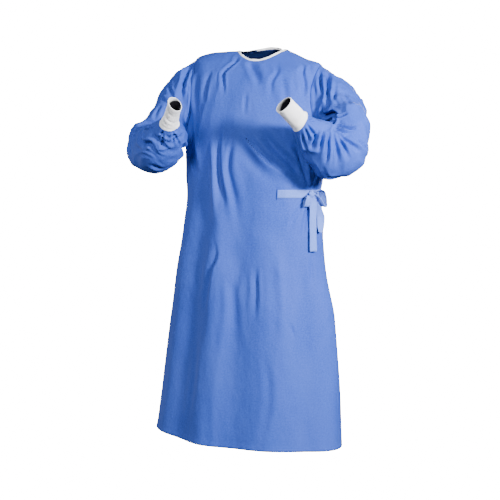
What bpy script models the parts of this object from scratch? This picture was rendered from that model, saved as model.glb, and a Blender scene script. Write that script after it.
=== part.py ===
"""A long-sleeved surgical gown, filled out as if worn: arms bent, waist tie knotted in a bow.

The frame is in metres, +Z up, +X to the wearer's left and -Y out of the chest. The origin is the middle
of the neck opening at the height where the gown rests on the shoulders.
Every cloth piece is a thin wall. Its outer face is a grid of points on one shared form, so that two pieces
which are sewn together meet along the same seam points, and each edge is then drawn back by half the gap.
"""

import math

import bpy
import numpy as np

CLOTH = 0.0012  # thickness of the nonwoven panels
KNIT = 0.0020  # thickness of the rib-knit cuffs
TIE = 0.0014  # thickness of a folded waist tie
SEAM_GAP = 0.0003
EDGE_SETBACK = 0.00024  # each edge draws back this far from its seam line

# One row for each ring of the body, hem to neckline, in metres. The heights are those at the front, left, right
# and back of the ring; reach is half the width, front and back the depths from the ring's own centre.
BODY_COLUMNS = ("z_front", "z_left", "z_right", "z_back", "reach", "front", "back",
                "shift_x", "shift_y", "square")
BODY_RINGS = (
    (-1.158, -1.170, -1.136, -1.154, 0.287, 0.185, 0.165, -0.024, -0.050, 2.15),
    (-0.960, -0.960, -0.960, -0.960, 0.270, 0.168, 0.150, -0.018, -0.046, 2.15),
    (-0.790, -0.790, -0.790, -0.790, 0.251, 0.155, 0.142, -0.018, -0.043, 2.15),
    (-0.640, -0.640, -0.640, -0.640, 0.228, 0.145, 0.132, -0.023, -0.040, 2.20),
    (-0.530, -0.530, -0.530, -0.530, 0.214, 0.137, 0.124, -0.020, -0.036, 2.25),
    (-0.430, -0.430, -0.430, -0.430, 0.205, 0.129, 0.120, -0.019, -0.032, 2.30),
    (-0.350, -0.350, -0.350, -0.350, 0.210, 0.129, 0.124, -0.016, -0.028, 2.35),
    (-0.285, -0.280, -0.275, -0.280, 0.217, 0.129, 0.126, -0.014, -0.022, 2.40),
    (-0.165, -0.158, -0.140, -0.150, 0.210, 0.120, 0.120, -0.013, -0.014, 2.40),
    (-0.088, -0.051, -0.018, -0.036, 0.195, 0.100, 0.108, -0.013, -0.006, 2.30),
    (-0.060, -0.023, 0.003, 0.002, 0.133, 0.087, 0.086, -0.006, 0.000, 2.10),
    (-0.038, 0.000, 0.004, 0.016, 0.078, 0.074, 0.066, 0.000, 0.004, 2.00),
)

# The largest folds of the body. A fold runs from a top angle and height to a bottom angle and height; angles
# are in degrees from the front centre towards the wearer's left, and a negative depth is a trough.
FOLD_COLUMNS = ("top_angle", "top_z", "bottom_angle", "bottom_z", "width_deg", "depth")
BODY_FOLDS = (
    (-30, -0.20, -38, -1.19, 11, -0.010),
    (-54, -0.34, -56, -1.19, 12, 0.010),
    (-14, -0.16, -17, -1.19, 9, 0.008),
    (2, -0.22, -2, -1.19, 9, -0.009),
    (26, -0.50, 20, -1.19, 13, 0.008),
    (52, -0.46, 44, -1.19, 10, -0.008),
    (84, -0.44, 70, -1.19, 12, 0.008),
    (108, -0.40, 100, -1.19, 11, -0.008),
    (132, -0.34, 128, -1.19, 12, 0.009),
    (160, -0.30, 163, -1.19, 12, -0.010),
    (186, -0.26, 190, -1.19, 13, 0.010),
    (214, -0.30, 216, -1.19, 12, -0.010),
    (240, -0.36, 240, -1.19, 13, 0.010),
    (266, -0.42, 268, -1.19, 12, -0.009),
    (284, -0.50, 288, -1.19, 10, 0.007),
)

SIDE_SEAM_HEM = 116.0  # degrees from the front centre
ARMPIT_RING, SHOULDER_RING = 7, 9  # rows of BODY_RINGS
ARMHOLE_ANGLES = (57.0, 129.0)  # front and back edges of the armhole; the side seam meets its middle
ARMHOLE_DROP = -0.014  # how far the armhole dips below the armpit ring
WRAP_START = 138.0  # each back panel's evenly spaced columns start here, measured towards its own side
FREE_EDGE = 212.0  # and it ends here, past the back centre
TUCK = 0.0045  # how far the tucked panel lies under the other
TUCK_ANGLES = (118.0, 133.0)  # the tucked panel dips over this range

BODY_ROWS, ARMHOLE_ROWS, YOKE_ROWS = 11, 9, 3
HALF_FRONT_COLUMNS = 11
SIDE_COLUMNS, WRAP_COLUMNS = 3, 7  # of a back panel: beside its side seam, and where the two backs overlap
MIDDLE_RISE = (0.005, 0.030)  # how far a row at the centre lies above the armpit and above the shoulder
FRONT_LEVELLING, BACK_LEVELLING = 2.4, 1.5  # powers: the higher, the flatter the rows run near the centre
SEAM_SWING_START = 0.2  # run at which the side seam starts to swing forward to the armhole
FOLD_RISE = 0.45  # share of a fold's length over which it deepens
SHARP_ANGLE = 50.0

# One row for each section of a sleeve after the armhole. The outer line runs from the shoulder over the elbow
# to the cuff, the inner line from the armpit through the crook; half_width is across them.
SLEEVE_COLUMNS = ("outer_x", "outer_y", "outer_z", "inner_x", "inner_y", "inner_z", "half_width")
LEFT_SLEEVE = (
    (0.250, -0.028, -0.098, 0.230, -0.034, -0.268, 0.078),
    (0.293, -0.053, -0.147, 0.242, -0.068, -0.251, 0.072),
    (0.328, -0.080, -0.200, 0.243, -0.098, -0.235, 0.066),
    (0.349, -0.105, -0.258, 0.242, -0.120, -0.228, 0.064),
    (0.341, -0.125, -0.329, 0.240, -0.138, -0.228, 0.064),
    (0.295, -0.143, -0.375, 0.234, -0.158, -0.227, 0.064),
    (0.235, -0.163, -0.385, 0.225, -0.180, -0.223, 0.060),
    (0.192, -0.186, -0.343, 0.215, -0.202, -0.217, 0.053),
    (0.168, -0.210, -0.295, 0.207, -0.225, -0.212, 0.042),
    (0.160, -0.236, -0.252, 0.201, -0.244, -0.206, 0.030),
)
RIGHT_SLEEVE = (
    (-0.265, -0.033, -0.056, -0.258, -0.036, -0.266, 0.078),
    (-0.309, -0.060, -0.122, -0.266, -0.070, -0.252, 0.072),
    (-0.334, -0.085, -0.202, -0.268, -0.096, -0.244, 0.064),
    (-0.384, -0.105, -0.287, -0.268, -0.114, -0.238, 0.062),
    (-0.366, -0.132, -0.340, -0.262, -0.132, -0.232, 0.066),
    (-0.318, -0.160, -0.364, -0.250, -0.150, -0.226, 0.067),
    (-0.268, -0.192, -0.356, -0.237, -0.172, -0.219, 0.064),
    (-0.228, -0.220, -0.320, -0.224, -0.194, -0.212, 0.056),
    (-0.208, -0.242, -0.281, -0.213, -0.213, -0.208, 0.043),
    (-0.201, -0.263, -0.250, -0.205, -0.232, -0.206, 0.029),
)
SLEEVE_ROWS_PER_SECTION = 2

# Rings of a cuff after its seam: distance along its axis from the sleeve's end, and radius.
CUFF_COLUMNS = ("along", "radius")
CUFF_RINGS = ((0.016, 0.0285), (0.040, 0.0262), (0.060, 0.0255), (0.072, 0.0262))
CUFF_TIPS = {"left": (0.144, -0.290, -0.182), "right": (-0.164, -0.292, -0.166)}

BINDING_RISES = (2 * SEAM_GAP, 0.005, 0.009)  # heights of the binding's rows above the neckline
BINDING_THICK = 0.0026

BELT_BOTTOM, BELT_TOP = -0.440, -0.416
BELT_START, KNOT_ANGLE = 28.5, 65.5
BELT_LIFT = 0.0005
BELT_CROSSING = 2.65  # column of the tucked back at which the belt passes onto the outer back
BELT_END_COLUMNS = 2.0  # columns of the outer back that the belt's sewn end covers
KNOT_HALF = (0.0112, 0.0090, 0.0062)
KNOT_SEGMENTS, KNOT_RINGS = 14, 8

# The bow, from the middle of the belt at the knot, in millimetres: along the belt to the wearer's left, up and
# outwards. The next three columns are the direction of the ribbon's width, and the last is that width.
BOW_COLUMNS = ("along", "up", "out", "turn_along", "turn_up", "turn_out", "width")
LOOP_RIGHT = (
    (-11.9, -1.0, 9.0, 0.2, 1.0, 0.0, 9),
    (-16.0, -6.0, 12.6, 0.8, 0.7, 0.0, 14),
    (-21.0, -20.0, 13.5, 1.0, 0.2, 0.0, 19),
    (-22.0, -31.0, 11.0, 1.0, 0.0, 0.0, 20),
    (-22.0, -36.5, 7.4, 1.0, 0.0, 0.0, 20),
    (-21.5, -31.0, 4.2, 1.0, 0.0, 0.0, 19),
    (-19.0, -20.0, 3.4, 1.0, 0.2, 0.0, 17),
    (-15.5, -9.0, 4.4, 0.8, 0.7, 0.0, 12),
    (-11.9, -4.0, 4.4, 0.2, 1.0, 0.0, 7),
)
LOOP_LEFT = (
    (11.6, 3.0, 8.0, 0.0, 0.6, 1.0, 8),
    (18.0, 8.5, 11.0, 0.0, 0.4, 1.0, 12),
    (27.0, 10.0, 13.0, 0.1, 0.3, 1.0, 18),
    (35.0, 3.0, 14.0, 0.3, 0.2, 1.0, 22),
    (40.0, -13.0, 14.0, 0.4, 0.0, 1.0, 22),
    (42.0, -29.0, 14.0, 0.4, 0.0, 1.0, 22),
    (38.0, -36.5, 13.5, 0.3, -0.2, 1.0, 22),
    (31.0, -26.0, 12.5, 0.2, 0.0, 1.0, 19),
    (21.0, -9.5, 9.5, 0.0, 0.3, 1.0, 13),
    (11.6, -1.5, 6.4, 0.0, 0.6, 1.0, 7),
)
TAIL_FRONT = (
    (0.0, -9.4, 7.0, 1.0, 0.0, 0.2, 12),
    (0.0, -16.0, 9.0, 1.0, 0.0, 0.3, 18),
    (1.0, -30.0, 10.5, 1.0, 0.0, 0.3, 22),
    (-2.0, -70.0, 14.0, 1.0, 0.0, 0.2, 23),
    (-5.0, -120.0, 18.0, 1.0, 0.0, 0.2, 23),
    (-8.0, -166.0, 23.0, 1.0, 0.0, 0.2, 23),
)
TAIL_SIDE = (
    (8.4, -6.4, 3.6, 1.0, 0.3, 0.0, 6),
    (14.5, -18.0, 4.0, 1.0, 0.2, 0.3, 9),
    (22.0, -34.0, 6.0, 0.9, 0.1, 0.6, 14),
    (27.0, -50.0, 10.0, 0.8, 0.0, 0.9, 20),
    (29.0, -72.0, 14.0, 0.9, 0.0, 0.6, 24),
    (26.0, -98.0, 16.0, 1.0, 0.0, 0.2, 22),
    (22.0, -111.0, 17.0, 1.0, 0.0, 0.0, 12),
)

FASTENER_ROWS, FASTENER_COLUMNS = (-3, -1), (5, 9)  # of the tucked back panel's grid
FASTENER_THICK = 0.0026

BLUE, PALE_BLUE, WHITE = (0.20, 0.33, 0.68, 1.0), (0.42, 0.52, 0.82, 1.0), (0.86, 0.87, 0.90, 1.0)


def column(table, names, name):
    """One named column of a table, as an array."""
    return np.array([row[names.index(name)] for row in table], float)


def eased(position, start, end):
    """0 before start, 1 after end, and smooth between them."""
    t = np.clip((np.asarray(position, float) - start) / (end - start), 0.0, 1.0)
    return t * t * (3.0 - 2.0 * t)


def interpolate(places, values, at):
    """A smooth curve through values at rising places, which never overshoots (Fritsch and Carlson)."""
    places, values = np.asarray(places, float), np.asarray(values, float)
    steps = np.diff(places)
    slopes = np.diff(values) / steps
    tangents = np.zeros(len(places))
    same = slopes[:-1] * slopes[1:] > 0
    first, second = 2 * steps[1:] + steps[:-1], steps[1:] + 2 * steps[:-1]
    with np.errstate(divide="ignore", invalid="ignore"):
        mean = (first + second) / (first / slopes[:-1] + second / slopes[1:])
    tangents[1:-1] = np.where(same, mean, 0.0)
    tangents[0], tangents[-1] = slopes[0], slopes[-1]
    at = np.clip(np.asarray(at, float), places[0], places[-1])
    k = np.clip(np.searchsorted(places, at, side="right") - 1, 0, len(steps) - 1)
    t = (at - places[k]) / steps[k]
    rise = values[k] * (2 * t**3 - 3 * t**2 + 1) + values[k + 1] * (3 * t**2 - 2 * t**3)
    return rise + steps[k] * (tangents[k] * (t**3 - 2 * t**2 + t) + tangents[k + 1] * (t**3 - t**2))


def ring_runs():
    """How far each body ring lies from the hem, measured up the side of the body."""
    z, reach = (column(BODY_RINGS, BODY_COLUMNS, name) for name in ("z_left", "reach"))
    return np.concatenate([[0.0], np.cumsum(np.hypot(np.diff(z), np.diff(reach)))])


RUNS = ring_runs()
ARMPIT, SHOULDER, NECK = RUNS[ARMPIT_RING], RUNS[SHOULDER_RING], RUNS[-1]


def signed_power(value, power):
    return np.sign(value) * np.abs(value) ** power


def form_point(angle, run):
    """A point of the unfolded body form. The angle is in degrees from the front centre to the wearer's left."""
    angle, run = np.broadcast_arrays(np.asarray(angle, float), np.asarray(run, float))
    at = {name: interpolate(RUNS, column(BODY_RINGS, BODY_COLUMNS, name), run) for name in BODY_COLUMNS}
    sine, cosine = np.sin(np.radians(angle)), np.cos(np.radians(angle))
    facing_front = cosine > 0
    depth = np.where(facing_front, at["front"], at["back"])
    z_end = np.where(facing_front, at["z_front"], at["z_back"])
    z_side = np.where(sine > 0, at["z_left"], at["z_right"])
    x = at["shift_x"] + at["reach"] * signed_power(sine, 2 / at["square"])
    y = at["shift_y"] - depth * signed_power(cosine, 2 / at["square"])
    z = z_side + (z_end - z_side) * cosine**2
    return np.stack([x, y, z], axis=-1)


def surface_normal(surface, angle, run):
    """The outward normal of a surface given by angle and run."""
    turn, climb = 0.5, 0.002
    around = surface(angle + turn, run) - surface(angle - turn, run)
    up = surface(angle, run + climb) - surface(angle, run - climb)
    normal = np.cross(around, up)
    return normal / np.linalg.norm(normal, axis=-1, keepdims=True)


def fold_height(angle, z):
    """The sum of the folds at an angle and height, positive outwards."""
    total = np.zeros(np.broadcast(angle, z).shape)
    for row in BODY_FOLDS:
        fold = dict(zip(FOLD_COLUMNS, row))
        length = fold["top_z"] - fold["bottom_z"]
        share = np.clip((fold["top_z"] - z) / length, 0.0, 1.0)
        middle = fold["top_angle"] + (fold["bottom_angle"] - fold["top_angle"]) * share
        off = (angle - middle + 180.0) % 360.0 - 180.0
        grows = eased(share, 0.0, FOLD_RISE)
        total = total + fold["depth"] * grows * np.exp(-((off / fold["width_deg"]) ** 2))
    return total


def body_point(angle, run, lift=0.0):
    """A point of the folded body, raised by lift along the form's normal."""
    angle, run = np.broadcast_arrays(np.asarray(angle, float), np.asarray(run, float))
    point = form_point(angle, run)
    height = lift + fold_height(angle, point[..., 2])
    return point + surface_normal(form_point, angle, run) * np.asarray(height)[..., None]


ARMHOLE_MIDDLE = ((ARMHOLE_ANGLES[0] + ARMHOLE_ANGLES[1]) / 2, (ARMPIT - ARMHOLE_DROP + SHOULDER) / 2)
ARMHOLE_REACH = ((ARMHOLE_ANGLES[1] - ARMHOLE_ANGLES[0]) / 2, (SHOULDER - ARMPIT + ARMHOLE_DROP) / 2)


def armhole_edge(clock):
    """Angle and run on the armhole. Clock is in degrees: 0 at the shoulder, 90 at the front, 180 underneath."""
    clock = np.radians(clock)
    angle = ARMHOLE_MIDDLE[0] - ARMHOLE_REACH[0] * np.sin(clock)
    return angle, ARMHOLE_MIDDLE[1] + ARMHOLE_REACH[1] * np.cos(clock)


FRONT_CLOCKS = np.linspace(180.0, 0.0, ARMHOLE_ROWS + 1)
BACK_CLOCKS = np.linspace(180.0, 360.0, ARMHOLE_ROWS + 1)
SEAM_RUN = ARMHOLE_MIDDLE[1] - ARMHOLE_REACH[1]


def side_seam_angle(run):
    return SIDE_SEAM_HEM + (ARMHOLE_MIDDLE[0] - SIDE_SEAM_HEM) * eased(run, SEAM_SWING_START, SEAM_RUN)


def panel_edge(clocks):
    """Angle and run of each row's end on a panel: up the side seam, round the armhole, up the shoulder."""
    seam_runs = np.linspace(0.0, SEAM_RUN, BODY_ROWS + 1)
    arm_angles, arm_runs = armhole_edge(clocks)
    yoke_runs = np.linspace(SHOULDER, NECK, YOKE_ROWS + 1)[1:]
    yoke_angles = np.linspace(ARMHOLE_MIDDLE[0], 90.0, YOKE_ROWS + 1)[1:]
    angles = np.concatenate([side_seam_angle(seam_runs[:-1]), arm_angles, yoke_angles])
    return angles, np.concatenate([seam_runs[:-1], arm_runs, yoke_runs])


def middle_runs():
    """The run of each row at the front or back centre."""
    below = np.linspace(0.0, SEAM_RUN + MIDDLE_RISE[0], BODY_ROWS + 1)
    beside = np.linspace(below[-1], SHOULDER + MIDDLE_RISE[1], ARMHOLE_ROWS + 1)[1:]
    above = np.linspace(beside[-1], NECK, YOKE_ROWS + 1)[1:]
    return np.concatenate([below, beside, above])


def front_grid():
    """Angle and run of the front panel's points: rows from the hem up, columns from the wearer's right."""
    ends, end_runs = panel_edge(FRONT_CLOCKS)
    across = np.linspace(-1.0, 1.0, 2 * HALF_FRONT_COLUMNS + 1)
    runs = middle_runs()[:, None] + (end_runs - middle_runs())[:, None] * np.abs(across) ** FRONT_LEVELLING
    return ends[:, None] * across, runs


def back_grid():
    """Angle and run of the tucked panel's points, from the wearer's left side seam past the back centre."""
    ends, end_runs = panel_edge(BACK_CLOCKS)
    wrap = np.linspace(WRAP_START, FREE_EDGE, WRAP_COLUMNS + 1)
    beside = np.linspace(0.0, 1.0, SIDE_COLUMNS, endpoint=False)
    angles = np.concatenate([ends[:, None] + (wrap[0] - ends)[:, None] * beside,
                             np.broadcast_to(wrap, (len(ends), len(wrap)))], axis=1)
    away = np.concatenate([(1.0 - beside) ** BACK_LEVELLING, np.zeros(len(wrap))])
    return angles, middle_runs()[:, None] + (end_runs - middle_runs())[:, None] * away


def tuck_depth(angle):
    """How far the tucked-under panel is pushed in at an angle."""
    return -TUCK * eased(angle, *TUCK_ANGLES)


def unit(vectors):
    return vectors / np.maximum(np.linalg.norm(vectors, axis=-1, keepdims=True), 1e-12)


def smooth_through(stations, rows_each):
    """Rows of points on curves through the stations, which are arrays of points, with the stations included."""
    stations = np.asarray(stations, float)
    gaps = np.linalg.norm(np.diff(stations, axis=0), axis=-1).mean(axis=-1)
    places = np.concatenate([[0.0], np.cumsum(gaps)])
    at = np.concatenate([np.linspace(a, b, rows_each, endpoint=False) for a, b in zip(places, places[1:])])
    at = np.append(at, places[-1])
    flat = stations.reshape(len(stations), -1)
    made = np.stack([interpolate(places, flat[:, i], at) for i in range(flat.shape[1])], axis=-1)
    return made.reshape((len(at),) + stations.shape[1:])


def sleeve_sections(table, side, start):
    """Centre, outward half axis and front half axis of each section of a sleeve that starts at a point."""
    outer = np.stack([column(table, SLEEVE_COLUMNS, "outer_" + c) for c in "xyz"], axis=-1)
    inner = np.stack([column(table, SLEEVE_COLUMNS, "inner_" + c) for c in "xyz"], axis=-1)
    centre, out = (outer + inner) / 2, (outer - inner) / 2
    along = np.gradient(np.concatenate([[start], centre]), axis=0)[1:]
    front = unit(np.cross(along, out)) * (1.0 if side == "left" else -1.0)
    return centre, out, front * column(table, SLEEVE_COLUMNS, "half_width")[:, None]


def sleeve_grid(table, side, loop):
    """Points of a sleeve, from the armhole loop to the cuff. Each row is a closed ring."""
    clocks = np.radians(np.concatenate([FRONT_CLOCKS[::-1], BACK_CLOCKS[1:-1]]))
    centre, out, front = sleeve_sections(table, side, loop.mean(axis=0))
    rings = [loop]
    for middle, outward, forward in zip(centre, out, front):
        rings.append(middle + np.cos(clocks)[:, None] * outward + np.sin(clocks)[:, None] * forward)
    return smooth_through(rings, SLEEVE_ROWS_PER_SECTION)


def faces_of(rows, columns, closed, flip):
    """Quads of a grid of points, as indices."""
    steps = columns if closed else columns - 1
    quads = []
    for r in range(rows - 1):
        for c in range(steps):
            d = (c + 1) % columns
            quad = [r * columns + c, r * columns + d, (r + 1) * columns + d, (r + 1) * columns + c]
            quads.append(quad[::-1] if flip else quad)
    return quads


def tangents(points, closed):
    """The direction along a line of points."""
    if closed:
        return unit(np.roll(points, -1, axis=0) - np.roll(points, 1, axis=0))
    return unit(np.gradient(points, axis=0))


def split_quads(points, quads):
    """Two triangles for each quad, split along its shorter diagonal."""
    triangles = []
    for a, b, c, d in quads:
        if np.linalg.norm(points[a] - points[c]) < np.linalg.norm(points[b] - points[d]):
            triangles += [[a, b, c], [a, c, d]]
        else:
            triangles += [[a, b, d], [b, c, d]]
    return np.array(triangles)


class Cloth:
    """One piece of cloth: a grid of outer points, how it closes, and which edges are sewn."""

    def __init__(self, name, grid, material, thickness=CLOTH, closed=False, flip=False, sewn=()):
        self.name, self.grid, self.material = name, np.array(grid, float), material
        self.thickness, self.closed, self.flip, self.sewn = thickness, closed, flip, sewn
        rows, columns = self.grid.shape[:2]
        self.triangles = split_quads(self.points(), faces_of(rows, columns, closed, flip))

    def points(self):
        return self.grid.reshape(-1, 3)

    def corner_normals(self):
        """For each corner of each triangle, the triangle's normal times the angle at that corner."""
        corners = self.points()[self.triangles]
        ahead = unit(np.roll(corners, -1, axis=1) - corners)
        behind = unit(np.roll(corners, 1, axis=1) - corners)
        angles = np.arccos(np.clip(np.sum(ahead * behind, axis=-1), -1.0, 1.0))
        normals = unit(np.cross(ahead[:, 0], behind[:, 0]))
        return normals[:, None] * angles[..., None]

    def set_back(self):
        """The outer points with each sewn edge drawn back from its seam, square to the seam."""
        grid = self.grid.copy()
        normals = shared_normals([self])[0].reshape(grid.shape)
        for axis, end in self.sewn:
            line, inner = {"start": (0, 1), "end": (-1, -2)}[end]
            edge = (line,) if axis == "row" else (slice(None), line)
            towards = self.grid[(inner,) if axis == "row" else (slice(None), inner)] - self.grid[edge]
            inward = unit(np.cross(normals[edge], tangents(self.grid[edge], self.closed)))
            if np.sum(inward * towards) < 0:
                inward = -inward
            grid[edge] += inward * EDGE_SETBACK
        return grid.reshape(-1, 3)


def shared_normals(pieces):
    """A normal for every point of every piece, averaged over all the pieces that meet there."""
    sums = {}
    for piece in pieces:
        places = np.round(piece.points(), 6)
        for triangle, normals in zip(piece.triangles, piece.corner_normals()):
            for corner, normal in zip(triangle, normals):
                key = tuple(places[corner])
                sums[key] = sums.get(key, 0.0) + normal
    return [unit(np.array([sums[tuple(p)] for p in np.round(piece.points(), 6)])) for piece in pieces]


def border(rows, columns, closed):
    """The open edges of a grid as loops of indices, each running with the grid's faces on its left."""
    index = np.arange(rows * columns).reshape(rows, columns)
    if closed:
        return [list(index[0]), list(index[-1][::-1])]
    return [list(index[0]) + list(index[1:, -1]) + list(index[-1, -2::-1]) + list(index[-2:0:-1, 0])]


def add_mesh(name, points, faces, material):
    mesh = bpy.data.meshes.new(name)
    mesh.from_pydata([tuple(p) for p in points], [], [tuple(map(int, f)) for f in faces])
    mesh.materials.append(material)
    mesh.update()
    obj = bpy.data.objects.new(name, mesh)
    bpy.context.scene.collection.objects.link(obj)
    mesh.shade_smooth()
    mesh.set_sharp_from_angle(angle=math.radians(SHARP_ANGLE))
    return obj


def add_wall(piece, normals):
    """Builds a piece as a closed wall between its outer points and the same points moved inwards."""
    outer = piece.set_back()
    inner = outer - normals * piece.thickness
    count = len(outer)
    rows, columns = piece.grid.shape[:2]
    faces = piece.triangles.tolist() + (count + piece.triangles[:, ::-1]).tolist()
    for loop in border(rows, columns, piece.closed):
        for a, b in zip(loop, loop[1:] + loop[:1]):
            rim = [b, a, count + a, count + b]
            faces.append(rim[::-1] if piece.flip else rim)
    return add_mesh(piece.name, np.concatenate([outer, inner]), faces, piece.material)


def add_ribbon(name, middle, across, width, thickness, material):
    """A flat strip. Middle holds the points it follows and across the directions of its width."""
    middle = np.asarray(middle, float)
    across = unit(np.asarray(across, float))
    along = unit(np.gradient(middle, axis=0))
    across = unit(across - along * np.sum(across * along, axis=-1, keepdims=True))
    face = np.cross(along, across)
    width = np.broadcast_to(np.asarray(width, float), len(middle))[:, None]
    corners = [middle + across * width * a / 2 + face * thickness * b / 2
               for a, b in ((-1, -1), (1, -1), (1, 1), (-1, 1))]
    ring = np.stack(corners, axis=1)
    rows = len(middle)
    faces = [q[::-1] for q in faces_of(rows, 4, True, True)]
    last = (rows - 1) * 4
    faces += [[3, 2, 1, 0], [last, last + 1, last + 2, last + 3]]
    return add_mesh(name, ring.reshape(-1, 3), faces, material)


def at_height(grid, columns, z):
    """Points of a panel at a height, on the straight lines that run up it. Columns may be fractions."""
    lines = []
    for c in range(grid.shape[1]):
        heights = grid[:, c, 2]
        lines.append([np.interp(z, heights, grid[:, c, axis]) for axis in range(3)])
    lines = np.array(lines)
    return np.stack([np.interp(columns, np.arange(len(lines)), lines[:, axis]) for axis in range(3)], axis=-1)


def column_at_angle(grid_angles, angle, row):
    return float(np.interp(angle, grid_angles[row], np.arange(grid_angles.shape[1])))


def between(start, end):
    """Start, the whole numbers between, and end."""
    whole = np.arange(math.floor(start) + 1, math.ceil(end))
    return np.concatenate([[start], whole, [end]])


def belt_band(stretches, lift):
    """Bottom and top lines of a belt that lies on panels. A stretch is a grid and the columns it crosses."""
    bottom = np.concatenate([at_height(grid, columns, BELT_BOTTOM) for grid, columns in stretches])
    top = np.concatenate([at_height(grid, columns, BELT_TOP) for grid, columns in stretches])
    along = np.gradient((bottom + top) / 2, axis=0)
    out = unit(np.cross(along, top - bottom))
    return np.stack([bottom + out * (lift + TIE), top + out * (lift + TIE)])


def bow_point(origin, axes, row):
    """World position, width direction and width of one row of a bow table."""
    place = dict(zip(BOW_COLUMNS, row))
    middle = sum(axis * place[name] for axis, name in zip(axes, ("along", "up", "out")))
    turn = sum(axis * place["turn_" + name] for axis, name in zip(axes, ("along", "up", "out")))
    return np.concatenate([origin + middle / 1000, unit(turn), [place["width"] / 1000]])


def add_bow_part(name, table, origin, axes, material):
    stations = np.array([bow_point(origin, axes, row) for row in table])[:, None, :]
    rows = smooth_through(stations, 2)[:, 0]
    add_ribbon(name, rows[:, :3], rows[:, 3:6], rows[:, 6], TIE, material)


def add_knot(origin, axes, material):
    """The knot: a squashed ball with its poles along the belt."""
    along, up, out = axes
    half_along, half_up, half_out = KNOT_HALF
    middle = origin + out * (half_out + BELT_LIFT)
    points = [middle - along * half_along]
    for r in range(1, KNOT_RINGS):
        polar = math.pi * r / KNOT_RINGS
        for s in range(KNOT_SEGMENTS):
            turn = 2 * math.pi * s / KNOT_SEGMENTS
            spoke = up * half_up * math.cos(turn) + out * half_out * math.sin(turn)
            points.append(middle - along * half_along * math.cos(polar) + spoke * math.sin(polar))
    points.append(middle + along * half_along)
    last, ends = len(points) - 1, len(points) - 1 - KNOT_SEGMENTS
    faces = [[i + 1 for i in q] for q in faces_of(KNOT_RINGS - 1, KNOT_SEGMENTS, True, False)]
    for s in range(KNOT_SEGMENTS):
        t = (s + 1) % KNOT_SEGMENTS
        faces.append([0, 1 + t, 1 + s])
        faces.append([last, ends + s, ends + t])
    return add_mesh("knot", points, faces, material)


def make_material(name, colour, roughness):
    material = bpy.data.materials.new(name)
    material.use_nodes = True
    shader = material.node_tree.nodes["Principled BSDF"]
    shader.inputs["Base Color"].default_value = colour
    shader.inputs["Roughness"].default_value = roughness
    shader.inputs["Metallic"].default_value = 0.0
    return material


def body_panels(material):
    """The front and the two back panels, which share the side seams and the shoulder seams."""
    arm_start, arm_end = BODY_ROWS, BODY_ROWS + ARMHOLE_ROWS + 1
    front = body_point(*front_grid())
    angle, run = back_grid()
    back_left = body_point(angle, run, tuck_depth(angle))
    back_right = body_point(-angle, run)
    side = ("column", "start")
    return [
        Cloth("front", front, material, sewn=(side, ("column", "end"))),
        Cloth("back_left", back_left, material, sewn=(side,)),
        Cloth("back_right", back_right, material, flip=True, sewn=(side,)),
    ], arm_start, arm_end


def armhole_loop(front, back, side, arm_start, arm_end):
    """The seam points of one armhole, clockwise from the shoulder through the front."""
    front_edge = front.grid[arm_start:arm_end, -1 if side == "left" else 0]
    back_edge = back.grid[arm_start:arm_end, 0]
    return np.concatenate([front_edge[::-1], back_edge[1:-1]])


def cuff_grid(sleeve_end, tip):
    """Rings of a cuff, which start on the sleeve's last ring and run to the tip."""
    base = sleeve_end.mean(axis=0)
    axis = unit(np.array(tip) - base)
    spokes = unit(sleeve_end - base - np.outer((sleeve_end - base) @ axis, axis))
    rings = [sleeve_end]
    for row in CUFF_RINGS:
        ring = dict(zip(CUFF_COLUMNS, row))
        rings.append(base + axis * ring["along"] + spokes * ring["radius"])
    return smooth_through(rings, 2)


def neck_rows(panels):
    """The top two rows of the panels, from the tucked back's free edge round the front to the outer back's."""
    front, back_left, back_right = (piece.grid for piece in panels)
    rows = []
    for r in (-2, -1):
        rows.append(np.concatenate([back_left[r, ::-1], front[r, -2:0:-1], back_right[r]]))
    return rows


def add_binding(panels, material):
    """The neck binding: a band that continues the neckline, lapped over itself at the back."""
    below, base = neck_rows(panels)
    climb = unit(base - below)
    out = unit(np.cross(climb, np.gradient(base, axis=0)))
    grid = np.stack([base + out * (BINDING_THICK - CLOTH) / 2 + climb * h for h in BINDING_RISES])
    piece = Cloth("neck_binding", grid, material, BINDING_THICK, flip=True)
    add_wall(piece, np.tile(out, (len(BINDING_RISES), 1)))


def add_ties(panels, material):
    """The belt on the panels, its knot, and the bow."""
    front, back_left, back_right = (piece.grid for piece in panels)
    row = int(np.argmin(np.abs(front[:, -1, 2] - BELT_TOP)))
    angles = front_grid()[0]
    start, middle = (column_at_angle(angles, a, row) for a in (BELT_START, KNOT_ANGLE))
    near_knot = SEAM_GAP / 2 / np.linalg.norm(front[row, int(middle) + 1] - front[row, int(middle)])
    band = belt_band([(front, between(start, middle - near_knot))], BELT_LIFT)
    add_wall_of("belt_front", band, material, TIE)
    last = back_right.shape[1] - 1
    outer = np.linspace(last, last - BELT_END_COLUMNS, 3)
    band = belt_band([(front, between(middle + near_knot, front.shape[1] - 1)),
                      (back_left, between(0.0, BELT_CROSSING)[1:]), (back_right, outer)], BELT_LIFT)
    add_wall_of("belt_side", band, material, TIE)
    bottom, top = (at_height(front, [middle - 0.5, middle, middle + 0.5], z) for z in (BELT_BOTTOM, BELT_TOP))
    along = unit(bottom[2] - bottom[0])
    up = np.array([0.0, 0.0, 1.0])
    out = unit(np.cross(along, up))
    up = np.cross(out, along)
    axes = (along, up, out)
    origin = (bottom[1] + top[1]) / 2 + out * (BELT_LIFT + TIE)
    add_knot(origin, axes, material)
    for name, table in (("bow_loop_right", LOOP_RIGHT), ("bow_loop_left", LOOP_LEFT),
                        ("tail_front", TAIL_FRONT), ("tail_side", TAIL_SIDE)):
        add_bow_part(name, table, origin, axes, material)


def add_wall_of(name, grid, material, thickness):
    """A wall on its own, whose outer face is the grid."""
    piece = Cloth(name, grid, material, thickness)
    return add_wall(piece, shared_normals([piece])[0])


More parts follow.
